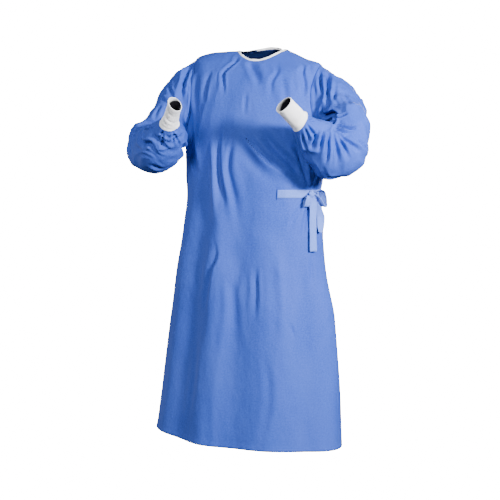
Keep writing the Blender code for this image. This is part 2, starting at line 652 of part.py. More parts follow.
def add_fastener(panel, material):
    """The pad between the two backs at the nape."""
    rows, columns = slice(*FASTENER_ROWS), slice(*FASTENER_COLUMNS)
    normals = shared_normals([panel])[0].reshape(panel.grid.shape)[rows, columns]
    grid = panel.grid[rows, columns] + normals * (SEAM_GAP + FASTENER_THICK)
    add_wall_of("neck_fastener", grid, material, FASTENER_THICK)


def main():
    for obj in list(bpy.data.objects):
        bpy.data.objects.remove(obj, do_unlink=True)
    blue = make_material("gown_blue", BLUE, 0.7)
    white = make_material("knit_white", WHITE, 0.85)
    trim = make_material("binding_white", WHITE, 0.7)
    tie = make_material("tie_blue", PALE_BLUE, 0.65)
    panels, arm_start, arm_end = body_panels(blue)
    front, back_left, back_right = panels
    pieces = list(panels)
    for side, table, back in (("left", LEFT_SLEEVE, back_left), ("right", RIGHT_SLEEVE, back_right)):
        loop = armhole_loop(front, back, side, arm_start, arm_end)
        grid = sleeve_grid(table, side, loop)
        flip = side == "right"
        ends = (("row", "start"), ("row", "end"))
        pieces.append(Cloth("sleeve_" + side, grid, blue, closed=True, flip=flip, sewn=ends))
        cuff = cuff_grid(grid[-1], CUFF_TIPS[side])
        pieces.append(Cloth("cuff_" + side, cuff, white, KNIT, closed=True, flip=flip, sewn=ends[:1]))
    for piece, normals in zip(pieces, shared_normals(pieces)):
        add_wall(piece, normals)
    add_binding(panels, trim)
    add_ties(panels, tie)
    add_fastener(back_left, trim)


main()
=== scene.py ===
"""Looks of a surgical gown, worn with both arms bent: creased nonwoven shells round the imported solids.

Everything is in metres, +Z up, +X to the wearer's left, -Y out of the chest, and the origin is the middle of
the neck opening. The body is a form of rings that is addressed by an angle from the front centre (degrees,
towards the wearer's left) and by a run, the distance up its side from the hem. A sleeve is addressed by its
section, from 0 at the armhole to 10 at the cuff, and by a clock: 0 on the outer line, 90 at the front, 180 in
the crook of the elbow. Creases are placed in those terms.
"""

import math

import bmesh
import bpy
import numpy as np
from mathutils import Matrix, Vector, noise


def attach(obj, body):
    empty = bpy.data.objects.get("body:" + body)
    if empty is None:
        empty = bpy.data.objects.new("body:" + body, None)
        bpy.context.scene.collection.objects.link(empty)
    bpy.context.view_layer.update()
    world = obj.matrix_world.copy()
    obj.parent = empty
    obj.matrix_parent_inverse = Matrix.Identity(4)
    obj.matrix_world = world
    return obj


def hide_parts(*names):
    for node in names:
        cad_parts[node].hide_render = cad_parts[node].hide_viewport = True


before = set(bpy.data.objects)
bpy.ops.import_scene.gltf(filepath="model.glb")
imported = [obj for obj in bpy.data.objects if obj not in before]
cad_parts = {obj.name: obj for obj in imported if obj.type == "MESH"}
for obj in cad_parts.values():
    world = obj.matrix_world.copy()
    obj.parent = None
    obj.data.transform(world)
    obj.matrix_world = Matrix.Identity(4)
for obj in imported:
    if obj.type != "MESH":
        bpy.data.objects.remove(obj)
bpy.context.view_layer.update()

SHELL = 0.0008  # thickness of the nonwoven shells
KNIT = 0.0016
TIE = 0.0013
SEAM_DIP = 0.0010  # a seam lies this much lower than the cloth beside it
HEM_WIDTH = 0.014
HEM_RISE = 0.0007

# One row for each ring of the body, hem to neckline. The heights are those at the front, left, right and back
# of the ring; reach is half the width, front and back the depths from the ring's own centre.
BODY_COLUMNS = ("z_front", "z_left", "z_right", "z_back", "reach", "front", "back",
                "shift_x", "shift_y", "square")
BODY_RINGS = (
    (-1.158, -1.170, -1.136, -1.154, 0.287, 0.185, 0.165, -0.024, -0.050, 2.15),
    (-0.960, -0.960, -0.960, -0.960, 0.270, 0.168, 0.150, -0.018, -0.046, 2.15),
    (-0.790, -0.790, -0.790, -0.790, 0.251, 0.155, 0.142, -0.018, -0.043, 2.15),
    (-0.640, -0.640, -0.640, -0.640, 0.228, 0.145, 0.132, -0.023, -0.040, 2.20),
    (-0.530, -0.530, -0.530, -0.530, 0.214, 0.137, 0.124, -0.020, -0.036, 2.25),
    (-0.430, -0.430, -0.430, -0.430, 0.205, 0.129, 0.120, -0.019, -0.032, 2.30),
    (-0.350, -0.350, -0.350, -0.350, 0.210, 0.129, 0.124, -0.016, -0.028, 2.35),
    (-0.285, -0.280, -0.275, -0.280, 0.217, 0.129, 0.126, -0.014, -0.022, 2.40),
    (-0.165, -0.158, -0.140, -0.150, 0.210, 0.120, 0.120, -0.013, -0.014, 2.40),
    (-0.088, -0.051, -0.018, -0.036, 0.195, 0.100, 0.108, -0.013, -0.006, 2.30),
    (-0.060, -0.023, 0.003, 0.002, 0.133, 0.087, 0.086, -0.006, 0.000, 2.10),
    (-0.038, 0.000, 0.004, 0.016, 0.078, 0.074, 0.066, 0.000, 0.004, 2.00),
)

# The largest folds. Each runs from a top angle and height to a bottom angle and height.
FOLD_COLUMNS = ("top_angle", "top_z", "bottom_angle", "bottom_z", "width_deg", "depth")
BODY_FOLDS = (
    (-30, -0.20, -38, -1.19, 11, -0.010),
    (-54, -0.34, -56, -1.19, 12, 0.010),
    (-14, -0.16, -17, -1.19, 9, 0.008),
    (2, -0.22, -2, -1.19, 9, -0.009),
    (26, -0.50, 20, -1.19, 13, 0.008),
    (52, -0.46, 44, -1.19, 10, -0.008),
    (84, -0.44, 70, -1.19, 12, 0.008),
    (108, -0.40, 100, -1.19, 11, -0.008),
    (132, -0.34, 128, -1.19, 12, 0.009),
    (160, -0.30, 163, -1.19, 12, -0.010),
    (186, -0.26, 190, -1.19, 13, 0.010),
    (214, -0.30, 216, -1.19, 12, -0.010),
    (240, -0.36, 240, -1.19, 13, 0.010),
    (266, -0.42, 268, -1.19, 12, -0.009),
    (284, -0.50, 288, -1.19, 10, 0.007),
)
FOLD_RISE = 0.45  # share of a fold's length over which it deepens

SIDE_SEAM_HEM = 116.0
ARMPIT_RING, SHOULDER_RING = 7, 9  # rows of BODY_RINGS
ARMHOLE_ANGLES = (57.0, 129.0)
ARMHOLE_DROP = -0.014
WRAP_START = 138.0  # each back panel's evenly spaced columns start here, measured towards its own side
FREE_EDGE = 212.0  # and it ends here, past the back centre
TUCK = 0.0045
TUCK_ANGLES = (118.0, 133.0)
MIDDLE_RISE = (0.005, 0.030)  # how far a row at the centre lies above the armpit and above the shoulder
FRONT_LEVELLING, BACK_LEVELLING = 2.4, 1.5
SEAM_SWING_START = 0.2

BODY_ROWS, ARMHOLE_ROWS, YOKE_ROWS = 170, 84, 18
HALF_FRONT_COLUMNS = 84
SIDE_COLUMNS, WRAP_COLUMNS = 30, 56

SLEEVE_COLUMNS = ("outer_x", "outer_y", "outer_z", "inner_x", "inner_y", "inner_z", "half_width")
LEFT_SLEEVE = (
    (0.250, -0.028, -0.098, 0.230, -0.034, -0.268, 0.078),
    (0.293, -0.053, -0.147, 0.242, -0.068, -0.251, 0.072),
    (0.328, -0.080, -0.200, 0.243, -0.098, -0.235, 0.066),
    (0.349, -0.105, -0.258, 0.242, -0.120, -0.228, 0.064),
    (0.341, -0.125, -0.329, 0.240, -0.138, -0.228, 0.064),
    (0.295, -0.143, -0.375, 0.234, -0.158, -0.227, 0.064),
    (0.235, -0.163, -0.385, 0.225, -0.180, -0.223, 0.060),
    (0.192, -0.186, -0.343, 0.215, -0.202, -0.217, 0.053),
    (0.168, -0.210, -0.295, 0.207, -0.225, -0.212, 0.042),
    (0.160, -0.236, -0.252, 0.201, -0.244, -0.206, 0.030),
)
RIGHT_SLEEVE = (
    (-0.265, -0.033, -0.056, -0.258, -0.036, -0.266, 0.078),
    (-0.309, -0.060, -0.122, -0.266, -0.070, -0.252, 0.072),
    (-0.334, -0.085, -0.202, -0.268, -0.096, -0.244, 0.064),
    (-0.384, -0.105, -0.287, -0.268, -0.114, -0.238, 0.062),
    (-0.366, -0.132, -0.340, -0.262, -0.132, -0.232, 0.066),
    (-0.318, -0.160, -0.364, -0.250, -0.150, -0.226, 0.067),
    (-0.268, -0.192, -0.356, -0.237, -0.172, -0.219, 0.064),
    (-0.228, -0.220, -0.320, -0.224, -0.194, -0.212, 0.056),
    (-0.208, -0.242, -0.281, -0.213, -0.213, -0.208, 0.043),
    (-0.201, -0.263, -0.250, -0.205, -0.232, -0.206, 0.029),
)
SLEEVE_ROWS = 16  # rows of the shell to each section

CUFF_COLUMNS = ("along", "radius")
CUFF_RINGS = {
    "left": ((0.010, 0.0268), (0.030, 0.0264), (0.055, 0.0258), (0.072, 0.0260)),
    "right": ((0.010, 0.0245), (0.030, 0.0212), (0.055, 0.0202), (0.072, 0.0212)),
}
CUFF_LENGTH = 0.072
# How the cuff's mouth leans, by direction.
MOUTH_TILT = {"left": (0.0, 0.0, 0.0), "right": (-0.010, 0.004, 0.0)}
CUFF_TIPS = {"left": (0.144, -0.290, -0.182), "right": (-0.164, -0.292, -0.166)}
CUFF_ROWS = 12  # rows of the knit to each ring
CUFF_POINTS = 360
RIBS = 60
RIB_HEIGHT = 0.0005

BELT_BOTTOM, BELT_TOP = -0.440, -0.416
BELT_START, KNOT_ANGLE = 28.5, 65.5
BELT_LIFT = 0.0005
BELT_CROSSING = 134.8  # angle at which the belt passes from the tucked back onto the outer back
OUTER_EDGE = 360.0 - FREE_EDGE  # the wearer's right back ends here, over the left one
BELT_END = 169.0  # angle of the belt's sewn end on the outer back
KNOT_HALF = (0.0112, 0.0090, 0.0062)

# The bow, from the middle of the belt at the knot, in millimetres: along the belt to the wearer's left,
# up and outwards. The next three columns are the direction of the ribbon's width, and the last is that width.
BOW_COLUMNS = ("along", "up", "out", "turn_along", "turn_up", "turn_out", "width")
LOOP_RIGHT = (
    (-11.9, -1.0, 9.0, 0.2, 1.0, 0.0, 9),
    (-16.0, -6.0, 12.6, 0.8, 0.7, 0.0, 14),
    (-21.0, -20.0, 13.5, 1.0, 0.2, 0.0, 19),
    (-22.0, -31.0, 11.0, 1.0, 0.0, 0.0, 20),
    (-22.0, -36.5, 7.4, 1.0, 0.0, 0.0, 20),
    (-21.5, -31.0, 4.2, 1.0, 0.0, 0.0, 19),
    (-19.0, -20.0, 3.4, 1.0, 0.2, 0.0, 17),
    (-15.5, -9.0, 4.4, 0.8, 0.7, 0.0, 12),
    (-11.9, -4.0, 4.4, 0.2, 1.0, 0.0, 7),
)
LOOP_LEFT = (
    (11.6, 3.0, 8.0, 0.0, 0.6, 1.0, 8),
    (18.0, 8.5, 11.0, 0.0, 0.4, 1.0, 12),
    (27.0, 10.0, 13.0, 0.1, 0.3, 1.0, 18),
    (35.0, 3.0, 14.0, 0.3, 0.2, 1.0, 22),
    (40.0, -13.0, 14.0, 0.4, 0.0, 1.0, 22),
    (42.0, -29.0, 14.0, 0.4, 0.0, 1.0, 22),
    (38.0, -36.5, 13.5, 0.3, -0.2, 1.0, 22),
    (31.0, -26.0, 12.5, 0.2, 0.0, 1.0, 19),
    (21.0, -9.5, 9.5, 0.0, 0.3, 1.0, 13),
    (11.6, -1.5, 6.4, 0.0, 0.6, 1.0, 7),
)
TAIL_FRONT = (
    (0.0, -9.4, 7.0, 1.0, 0.0, 0.2, 12),
    (0.0, -16.0, 9.0, 1.0, 0.0, 0.3, 18),
    (1.0, -30.0, 10.5, 1.0, 0.0, 0.3, 22),
    (-2.0, -70.0, 14.0, 1.0, 0.0, 0.2, 23),
    (-5.0, -120.0, 18.0, 1.0, 0.0, 0.2, 23),
    (-8.0, -166.0, 23.0, 1.0, 0.0, 0.2, 23),
)
TAIL_SIDE = (
    (8.4, -6.4, 3.6, 1.0, 0.3, 0.0, 6),
    (14.5, -18.0, 4.0, 1.0, 0.2, 0.3, 9),
    (22.0, -34.0, 6.0, 0.9, 0.1, 0.6, 14),
    (27.0, -50.0, 10.0, 0.8, 0.0, 0.9, 20),
    (29.0, -72.0, 14.0, 0.9, 0.0, 0.6, 24),
    (26.0, -98.0, 16.0, 1.0, 0.0, 0.2, 22),
    (22.0, -111.0, 17.0, 1.0, 0.0, 0.0, 12),
)

# Creases. A path is points of (angle, height) on the body, or (section, clock) on a sleeve. Widths and depths
# are in millimetres, the width at the start and at the end; a negative depth is a trough. Lean is from -1 to
# 1 and makes one side steeper; start is 1 where the crease is at full depth from its first point.
CREASE_COLUMNS = ("path", "width", "end_width", "depth", "lean", "start")
FRONT_CREASES = (
    (((-47, -0.016), (-29, -0.041), (-18, -0.100), (-15, -0.148)), 5, 6, -6.0, 0.3, 1),
    (((-12, -0.036), (2, -0.070), (9, -0.125)), 12, 11, -6.5, -0.3, 1),
    (((-36, -0.055), (-36, -0.120), (-34, -0.175)), 8, 9, -3.6, 0.2, 0),
    (((33, -0.040), (17, -0.113), (18, -0.165)), 7, 8, -2.8, 0.0, 0),
    (((0, -0.130), (0, -0.205)), 6, 6, -2.4, 0.0, 0),
    (((-15, -0.205), (-17, -0.331), (-12, -0.440), (-9, -0.520)), 8, 12, -7.0, 0.3, 0),
    (((-4, -0.235), (-9, -0.345), (-4, -0.445), (0, -0.530)), 7, 11, -6.0, -0.3, 0),
    (((-22, -0.260), (-21, -0.360), (-20, -0.520)), 9, 10, 5.0, 0.0, 0),
    (((-2, -0.232), (3, -0.280), (14, -0.330), (39, -0.388)), 8, 12, 8.0, 0.4, 0),
    (((6, -0.222), (20, -0.290), (42, -0.350), (60, -0.405)), 16, 10, -8.0, 0.0, 0),
    (((36, -0.270), (46, -0.320), (56, -0.370), (65, -0.416)), 8, 5, -6.0, 0.2, 0),
    (((52, -0.270), (58, -0.340), (66, -0.414)), 9, 5, 4.0, 0.0, 0),
    (((70, -0.290), (72, -0.350), (68, -0.414)), 8, 5, -6.0, -0.2, 0),
    (((86, -0.300), (82, -0.360), (74, -0.420)), 10, 6, -5.0, 0.0, 0),
    (((65, -0.446), (58, -0.500), (53, -0.560)), 5, 9, -4.0, 0.0, 0),
    (((70, -0.448), (74, -0.510), (76, -0.590)), 5, 9, -4.0, 0.0, 0),
    (((60, -0.446), (46, -0.490), (38, -0.550)), 5, 9, -2.5, 0.0, 0),
    (((-18, -0.545), (-14, -0.606), (-18, -0.652), (-23, -0.800)), 7, 9, -5.0, 0.5, 0),
    (((13, -0.620), (13, -0.700), (11, -0.810)), 7, 8, -4.5, 0.4, 0),
    (((35, -0.790), (39, -0.845)), 5, 5, -3.5, 0.0, 0),
    (((65, -0.590), (59, -0.720)), 7, 8, -2.5, 0.0, 0),
    (((-68, -0.055), (-66, -0.120), (-64, -0.200)), 10, 12, -13.0, 0.3, 0),
    (((-73, -0.230), (-71, -0.340), (-66, -0.460)), 13, 15, -11.0, 0.0, 0),
    (((-60, -0.060), (-56, -0.140), (-50, -0.220)), 9, 10, 4.0, 0.0, 0),
    (((-57, -0.200), (-50, -0.290), (-42, -0.390)), 9, 12, -6.0, 0.0, 0),
    (((57, -0.044), (50, -0.080), (51, -0.115), (47, -0.160)), 6, 7, -5.5, 0.4, 0),
    (((61, -0.046), (64, -0.082)), 5, 5, -4.5, 0.0, 0),
    (((62, -0.098), (62, -0.140), (64, -0.195)), 5, 7, -6.0, 0.3, 0),
    (((27, -0.080), (30, -0.150), (33, -0.200)), 10, 10, -2.6, 0.0, 0),
    (((4, -0.600), (-2, -0.720), (0, -0.900)), 12, 14, -2.6, 0.0, 0),
    (((-8, -0.640), (-7, -0.760), (-10, -0.920)), 10, 12, 2.4, 0.0, 0),
    (((30, -0.560), (31, -0.720), (28, -0.900)), 13, 15, 2.6, 0.0, 0),
    (((-30, -0.820), (-28, -0.950), (-31, -1.120)), 11, 13, -2.4, 0.0, 0),
    (((18, -0.880), (20, -1.000), (17, -1.140)), 12, 12, -2.4, 0.0, 0),
    (((-70, -0.420), (-64, -0.520), (-60, -0.660)), 9, 12, -4.0, 0.0, 0),
    (((-84, -0.360), (-80, -0.470), (-76, -0.600)), 10, 12, -4.5, 0.0, 0),
)
BACK_CREASES = (
    (((132, -0.060), (142, -0.130), (146, -0.230)), 8, 11, -6.0, 0.0, 0),
    (((118, -0.250), (128, -0.330), (140, -0.410)), 9, 9, -6.0, 0.0, 0),
    (((158, -0.040), (160, -0.130), (156, -0.250)), 9, 12, -4.5, 0.3, 0),
    (((172, -0.020), (176, -0.100), (174, -0.200)), 7, 9, -4.0, 0.0, 0),
    (((180, -0.250), (184, -0.350), (181, -0.480)), 9, 11, -5.0, 0.0, 0),
    (((196, -0.030), (200, -0.140), (196, -0.260)), 9, 11, -5.0, -0.3, 0),
    (((214, -0.050), (220, -0.150), (216, -0.280)), 8, 11, -5.5, 0.0, 0),
    (((236, -0.080), (228, -0.180), (226, -0.300)), 8, 10, -5.5, 0.3, 0),
    (((244, -0.240), (236, -0.330), (226, -0.460)), 9, 12, -5.5, 0.0, 0),
    (((262, -0.300), (258, -0.400), (250, -0.520)), 9, 12, -4.5, 0.0, 0),
    (((112, -0.330), (118, -0.380), (128, -0.416)), 7, 5, -5.0, 0.0, 0),
    (((104, -0.300), (102, -0.360), (104, -0.414)), 8, 5, -4.5, 0.0, 0),
    (((104, -0.442), (106, -0.510), (110, -0.600)), 5, 9, -4.5, 0.0, 0),
    (((122, -0.442), (128, -0.520), (130, -0.610)), 5, 10, -4.0, 0.0, 0),
    (((144, -0.440), (152, -0.520), (156, -0.640)), 6, 11, -4.0, 0.0, 0),
    (((168, -0.560), (172, -0.700), (168, -0.850)), 9, 11, -3.5, 0.3, 0),
    (((202, -0.540), (198, -0.680), (202, -0.820)), 9, 11, -4.0, 0.0, 0),
    (((228, -0.620), (232, -0.740), (230, -0.880)), 9, 11, -3.5, -0.3, 0),
    (((150, -0.840), (147, -0.960), (150, -1.100)), 11, 13, -3.0, 0.0, 0),
    (((250, -0.800), (254, -0.940), (252, -1.080)), 11, 12, -3.0, 0.0, 0),
)
LEFT_CREASES = (
    (((0.0, 22), (0.3, 40), (0.9, 70)), 6, 7, -8.0, 0.3, 0),
    (((0.3, 8), (0.8, 40), (2.3, 106)), 8, 9, -8.0, -0.3, 0),
    (((0.9, 22), (2.0, 62), (3.0, 108)), 9, 7, -4.5, 0.0, 0),
    (((1.8, 24), (2.8, 60), (3.8, 99)), 10, 7, -3.0, 0.0, 0),
    (((1.0, 86), (1.5, 112), (3.2, 140), (6.5, 158)), 6, 8, -13.0, 0.0, 0),
    (((6.7, 154), (4.8, 148), (4.2, 124), (3.9, 100)), 5, 5, -10.0, 0.3, 0),
    (((5.9, 144), (5.1, 112), (4.4, 70)), 4.5, 5.5, -10.0, 0.2, 0),
    (((6.2, 130), (5.2, 104)), 4, 4, -9.0, 0.0, 0),
    (((6.1, 120), (5.6, 84), (5.3, 48)), 4.5, 8, -6.0, 0.0, 0),
    (((6.2, 126), (6.1, 92), (6.0, 56)), 4.5, 9, -6.0, 0.3, 0),
    (((6.5, 134), (6.6, 98), (6.7, 50)), 4.5, 9, -6.0, -0.3, 0),
    (((6.9, 134), (7.2, 100), (7.4, 48)), 4.5, 9, -7.0, 0.3, 0),
    (((7.6, 134), (7.9, 104), (8.0, 66)), 5, 8, -5.5, 0.0, 0),
    (((5.1, 80), (4.9, 50), (4.8, 18)), 4, 6, -7.0, 0.4, 0),
    (((8.2, 130), (8.6, 96), (8.6, 56)), 5, 8, -6.0, -0.2, 0),
    (((9.9, 116), (9.0, 108), (8.1, 92)), 4, 7, -5.0, 0.0, 0),
    (((9.9, 96), (9.2, 84), (8.7, 76)), 4, 5, -3.5, 0.0, 0),
    (((9.9, 66), (9.2, 54), (8.3, 40)), 4, 7, -4.5, 0.0, 0),
    (((9.9, 34), (9.3, 26), (8.4, 18)), 4, 7, -4.0, 0.0, 0),
    (((9.9, 138), (9.3, 146), (8.7, 154)), 4, 6, -4.0, 0.0, 0),
    (((7.2, 26), (6.7, 18), (6.2, 14)), 8, 8, -3.5, 0.0, 0),
    (((3.2, 50), (3.7, 34), (4.2, 24)), 10, 10, -3.0, 0.0, 0),
)
RIGHT_CREASES = (
    (((0.1, 22), (0.7, 52), (1.3, 86)), 7, 9, -10.0, 0.3, 0),
    (((0.6, 14), (1.3, 60)), 8, 8, 4.0, 0.0, 0),
    (((1.4, 4), (1.7, 34), (1.9, 66)), 5, 6, -8.0, 0.3, 0),
    (((2.1, 22), (2.3, 48), (2.2, 78)), 5, 6, -5.0, 0.0, 0),
    (((2.5, 60), (2.9, 88), (3.4, 118)), 7, 7, -5.0, 0.0, 0),
    (((3.1, 62), (4.4, 84), (6.0, 104)), 8, 9, -5.0, 0.0, 0),
    (((5.4, 126), (7.0, 88), (8.1, 56), (7.8, 14)), 7, 11, -9.0, 0.3, 0),
    (((5.2, 140), (6.6, 122), (8.4, 108), (9.6, 96)), 5, 7, -7.0, 0.0, 0),
    (((4.2, 92), (5.0, 72), (6.0, 54)), 8, 10, -3.5, 0.0, 0),
    (((8.8, 84), (8.9, 40), (8.6, 0), (8.5, -26)), 7, 9, -5.0, 0.2, 0),
    (((9.3, 62), (9.4, 26), (9.2, -10)), 5, 6, 3.0, 0.0, 0),
    (((4.6, 130), (4.7, 100), (4.6, 60)), 5, 9, -5.0, 0.0, 0),
    (((6.4, 146), (7.2, 130), (7.9, 100)), 5, 8, -5.0, 0.0, 0),
    (((6.6, 26), (6.8, 0), (6.8, -34)), 8, 9, -3.5, 0.0, 0),
    (((9.9, 30), (9.3, 24), (8.4, 20)), 4, 7, -4.0, 0.0, 0),
    (((9.9, 120), (9.3, 128), (8.6, 132)), 4, 6, -4.5, 0.0, 0),
    (((9.9, -30), (9.3, -34), (8.5, -40)), 4, 6, -4.0, 0.0, 0),
)
# A hidden crease is this many sections further on, with this share of the shown one's depth.
HIDDEN_SHIFT, HIDDEN_SHARE = 0.35, 0.8
LIP = 0.38  # the cloth on both sides of a crease stands out by this share of its depth
CREASE_STEP = 0.003
CREASE_REACH = 3.4  # widths from its line at which a crease has died away
CREASE_LAYER = 0.016  # a crease leaves alone the cloth that is further than this from its own layer
FADE_IN, FADE_OUT = 0.35, 0.45  # shares of a crease's length
BODY_SHARPNESS, SLEEVE_SHARPNESS = 0.85, 0.68  # of the widths given above
BODY_GAIN, SLEEVE_GAIN = 1.3, 1.5  # of the depths given above


def column(table, names, name):
    """One named column of a table, as an array."""
    return np.array([row[names.index(name)] for row in table], float)


def eased(position, start, end):
    """0 before start, 1 after end, and smooth between them."""
    t = np.clip((np.asarray(position, float) - start) / (end - start), 0.0, 1.0)
    return t * t * (3.0 - 2.0 * t)


def unit(vectors):
    return vectors / np.maximum(np.linalg.norm(vectors, axis=-1, keepdims=True), 1e-12)


def interpolate(places, values, at):
    """A smooth curve through values at rising places, which never overshoots (Fritsch and Carlson)."""
    places, values = np.asarray(places, float), np.asarray(values, float)
    steps = np.diff(places)
    slopes = np.diff(values) / steps
    tangents = np.zeros(len(places))
    same = slopes[:-1] * slopes[1:] > 0
    first, second = 2 * steps[1:] + steps[:-1], steps[1:] + 2 * steps[:-1]
    with np.errstate(divide="ignore", invalid="ignore"):
        mean = (first + second) / (first / slopes[:-1] + second / slopes[1:])
    tangents[1:-1] = np.where(same, mean, 0.0)
    tangents[0], tangents[-1] = slopes[0], slopes[-1]
    at = np.clip(np.asarray(at, float), places[0], places[-1])
    k = np.clip(np.searchsorted(places, at, side="right") - 1, 0, len(steps) - 1)
    t = (at - places[k]) / steps[k]
    rise = values[k] * (2 * t**3 - 3 * t**2 + 1) + values[k + 1] * (3 * t**2 - 2 * t**3)
    return rise + steps[k] * (tangents[k] * (t**3 - 2 * t**2 + t) + tangents[k + 1] * (t**3 - t**2))


def smooth_through(stations, rows_each):
    """Rows of points on curves through the stations, which are arrays of points, stations included."""
    stations = np.asarray(stations, float)
    gaps = np.linalg.norm(np.diff(stations, axis=0), axis=-1).mean(axis=-1)
    places = np.concatenate([[0.0], np.cumsum(gaps)])
    at = np.concatenate([np.linspace(a, b, rows_each, endpoint=False) for a, b in zip(places, places[1:])])
    at = np.append(at, places[-1])
    flat = stations.reshape(len(stations), -1)
    made = np.stack([interpolate(places, flat[:, i], at) for i in range(flat.shape[1])], axis=-1)
    return made.reshape((len(at),) + stations.shape[1:])


# ---------------------------------------------------------------- the form of the body

def ring_runs():
    z, reach = (column(BODY_RINGS, BODY_COLUMNS, name) for name in ("z_left", "reach"))
    return np.concatenate([[0.0], np.cumsum(np.hypot(np.diff(z), np.diff(reach)))])


RUNS = ring_runs()
ARMPIT, SHOULDER, NECK = RUNS[ARMPIT_RING], RUNS[SHOULDER_RING], RUNS[-1]


def signed_power(value, power):
    return np.sign(value) * np.abs(value) ** power


def form_point(angle, run):
    """A point of the unfolded body form."""
    angle, run = np.broadcast_arrays(np.asarray(angle, float), np.asarray(run, float))
    at = {name: interpolate(RUNS, column(BODY_RINGS, BODY_COLUMNS, name), run) for name in BODY_COLUMNS}
    sine, cosine = np.sin(np.radians(angle)), np.cos(np.radians(angle))
    facing_front = cosine > 0
    depth = np.where(facing_front, at["front"], at["back"])
    z_end = np.where(facing_front, at["z_front"], at["z_back"])
    z_side = np.where(sine > 0, at["z_left"], at["z_right"])
    x = at["shift_x"] + at["reach"] * signed_power(sine, 2 / at["square"])
    y = at["shift_y"] - depth * signed_power(cosine, 2 / at["square"])
    z = z_side + (z_end - z_side) * cosine**2
    return np.stack([x, y, z], axis=-1)


def form_normal(angle, run):
    """The outward normal of the form."""
    turn, climb = 0.5, 0.002
    around = form_point(angle + turn, run) - form_point(angle - turn, run)
    up = form_point(angle, run + climb) - form_point(angle, run - climb)
    return unit(np.cross(around, up))


def fold_height(angle, z):
    """The sum of the largest folds at an angle and height, positive outwards."""
    total = np.zeros(np.broadcast(angle, z).shape)
    for row in BODY_FOLDS:
        fold = dict(zip(FOLD_COLUMNS, row))
        length = fold["top_z"] - fold["bottom_z"]
        share = np.clip((fold["top_z"] - z) / length, 0.0, 1.0)
        middle = fold["top_angle"] + (fold["bottom_angle"] - fold["top_angle"]) * share
        off = (angle - middle + 180.0) % 360.0 - 180.0
        depth = fold["depth"] * eased(share, 0.0, FOLD_RISE)
        total = total + depth * np.exp(-((off / fold["width_deg"]) ** 2))
    return total


def body_point(angle, run, lift=0.0):
    """A point of the folded body, raised by lift, and the form's normal there."""
    angle, run = np.broadcast_arrays(np.asarray(angle, float), np.asarray(run, float))
    point, normal = form_point(angle, run), form_normal(angle, run)
    height = lift + fold_height(angle, point[..., 2])
    return point + normal * np.asarray(height)[..., None], normal


def run_at(angle, z):
    """The run at which the body has a height, at an angle."""
    runs = np.linspace(0.0, NECK, 400)
    return np.array([np.interp(h, form_point(a, runs)[:, 2], runs) for a, h in zip(angle, z)])


ARMHOLE_MIDDLE = ((ARMHOLE_ANGLES[0] + ARMHOLE_ANGLES[1]) / 2, (ARMPIT - ARMHOLE_DROP + SHOULDER) / 2)
ARMHOLE_REACH = ((ARMHOLE_ANGLES[1] - ARMHOLE_ANGLES[0]) / 2, (SHOULDER - ARMPIT + ARMHOLE_DROP) / 2)
FRONT_CLOCKS = np.linspace(180.0, 0.0, ARMHOLE_ROWS + 1)
BACK_CLOCKS = np.linspace(180.0, 360.0, ARMHOLE_ROWS + 1)
SEAM_RUN = ARMHOLE_MIDDLE[1] - ARMHOLE_REACH[1]


def armhole_edge(clock):
    """Angle and run on the armhole. Clock is 0 at the shoulder, 90 at the front and 180 underneath."""
    clock = np.radians(clock)
    angle = ARMHOLE_MIDDLE[0] - ARMHOLE_REACH[0] * np.sin(clock)
    return angle, ARMHOLE_MIDDLE[1] + ARMHOLE_REACH[1] * np.cos(clock)


def side_seam_angle(run):
    return SIDE_SEAM_HEM + (ARMHOLE_MIDDLE[0] - SIDE_SEAM_HEM) * eased(run, SEAM_SWING_START, SEAM_RUN)


def panel_edge(clocks):
    """Angle and run of each row's end on a panel: up the side seam, round the armhole, up the shoulder."""
    seam_runs = np.linspace(0.0, SEAM_RUN, BODY_ROWS + 1)
    arm_angles, arm_runs = armhole_edge(clocks)
    yoke_runs = np.linspace(SHOULDER, NECK, YOKE_ROWS + 1)[1:]
    yoke_angles = np.linspace(ARMHOLE_MIDDLE[0], 90.0, YOKE_ROWS + 1)[1:]
    angles = np.concatenate([side_seam_angle(seam_runs[:-1]), arm_angles, yoke_angles])
    return angles, np.concatenate([seam_runs[:-1], arm_runs, yoke_runs])


def middle_runs():
    """The run of each row at the front or back centre."""
    below = np.linspace(0.0, SEAM_RUN + MIDDLE_RISE[0], BODY_ROWS + 1)
    beside = np.linspace(below[-1], SHOULDER + MIDDLE_RISE[1], ARMHOLE_ROWS + 1)[1:]
    above = np.linspace(beside[-1], NECK, YOKE_ROWS + 1)[1:]
    return np.concatenate([below, beside, above])


def front_grid():
    """Angle and run of the front panel's points: rows from the hem up, columns from the wearer's right."""
    ends, end_runs = panel_edge(FRONT_CLOCKS)
    across = np.linspace(-1.0, 1.0, 2 * HALF_FRONT_COLUMNS + 1)
    runs = middle_runs()[:, None] + (end_runs - middle_runs())[:, None] * np.abs(across) ** FRONT_LEVELLING
    return ends[:, None] * across, runs


def back_grid():
    """Angle and run of the tucked panel's points, from the wearer's left side seam past the back centre."""
    ends, end_runs = panel_edge(BACK_CLOCKS)
    wrap = np.linspace(WRAP_START, FREE_EDGE, WRAP_COLUMNS + 1)
    beside = np.linspace(0.0, 1.0, SIDE_COLUMNS, endpoint=False)
    angles = np.concatenate([ends[:, None] + (wrap[0] - ends)[:, None] * beside,
                             np.broadcast_to(wrap, (len(ends), len(wrap)))], axis=1)
    away = np.concatenate([(1.0 - beside) ** BACK_LEVELLING, np.zeros(len(wrap))])
    return angles, middle_runs()[:, None] + (end_runs - middle_runs())[:, None] * away


def tuck_depth(angle):
    """How far the tucked-under panel is pushed in at an angle."""
    return -TUCK * eased(angle, *TUCK_ANGLES)


# ---------------------------------------------------------------- the form of the sleeves and cuffs

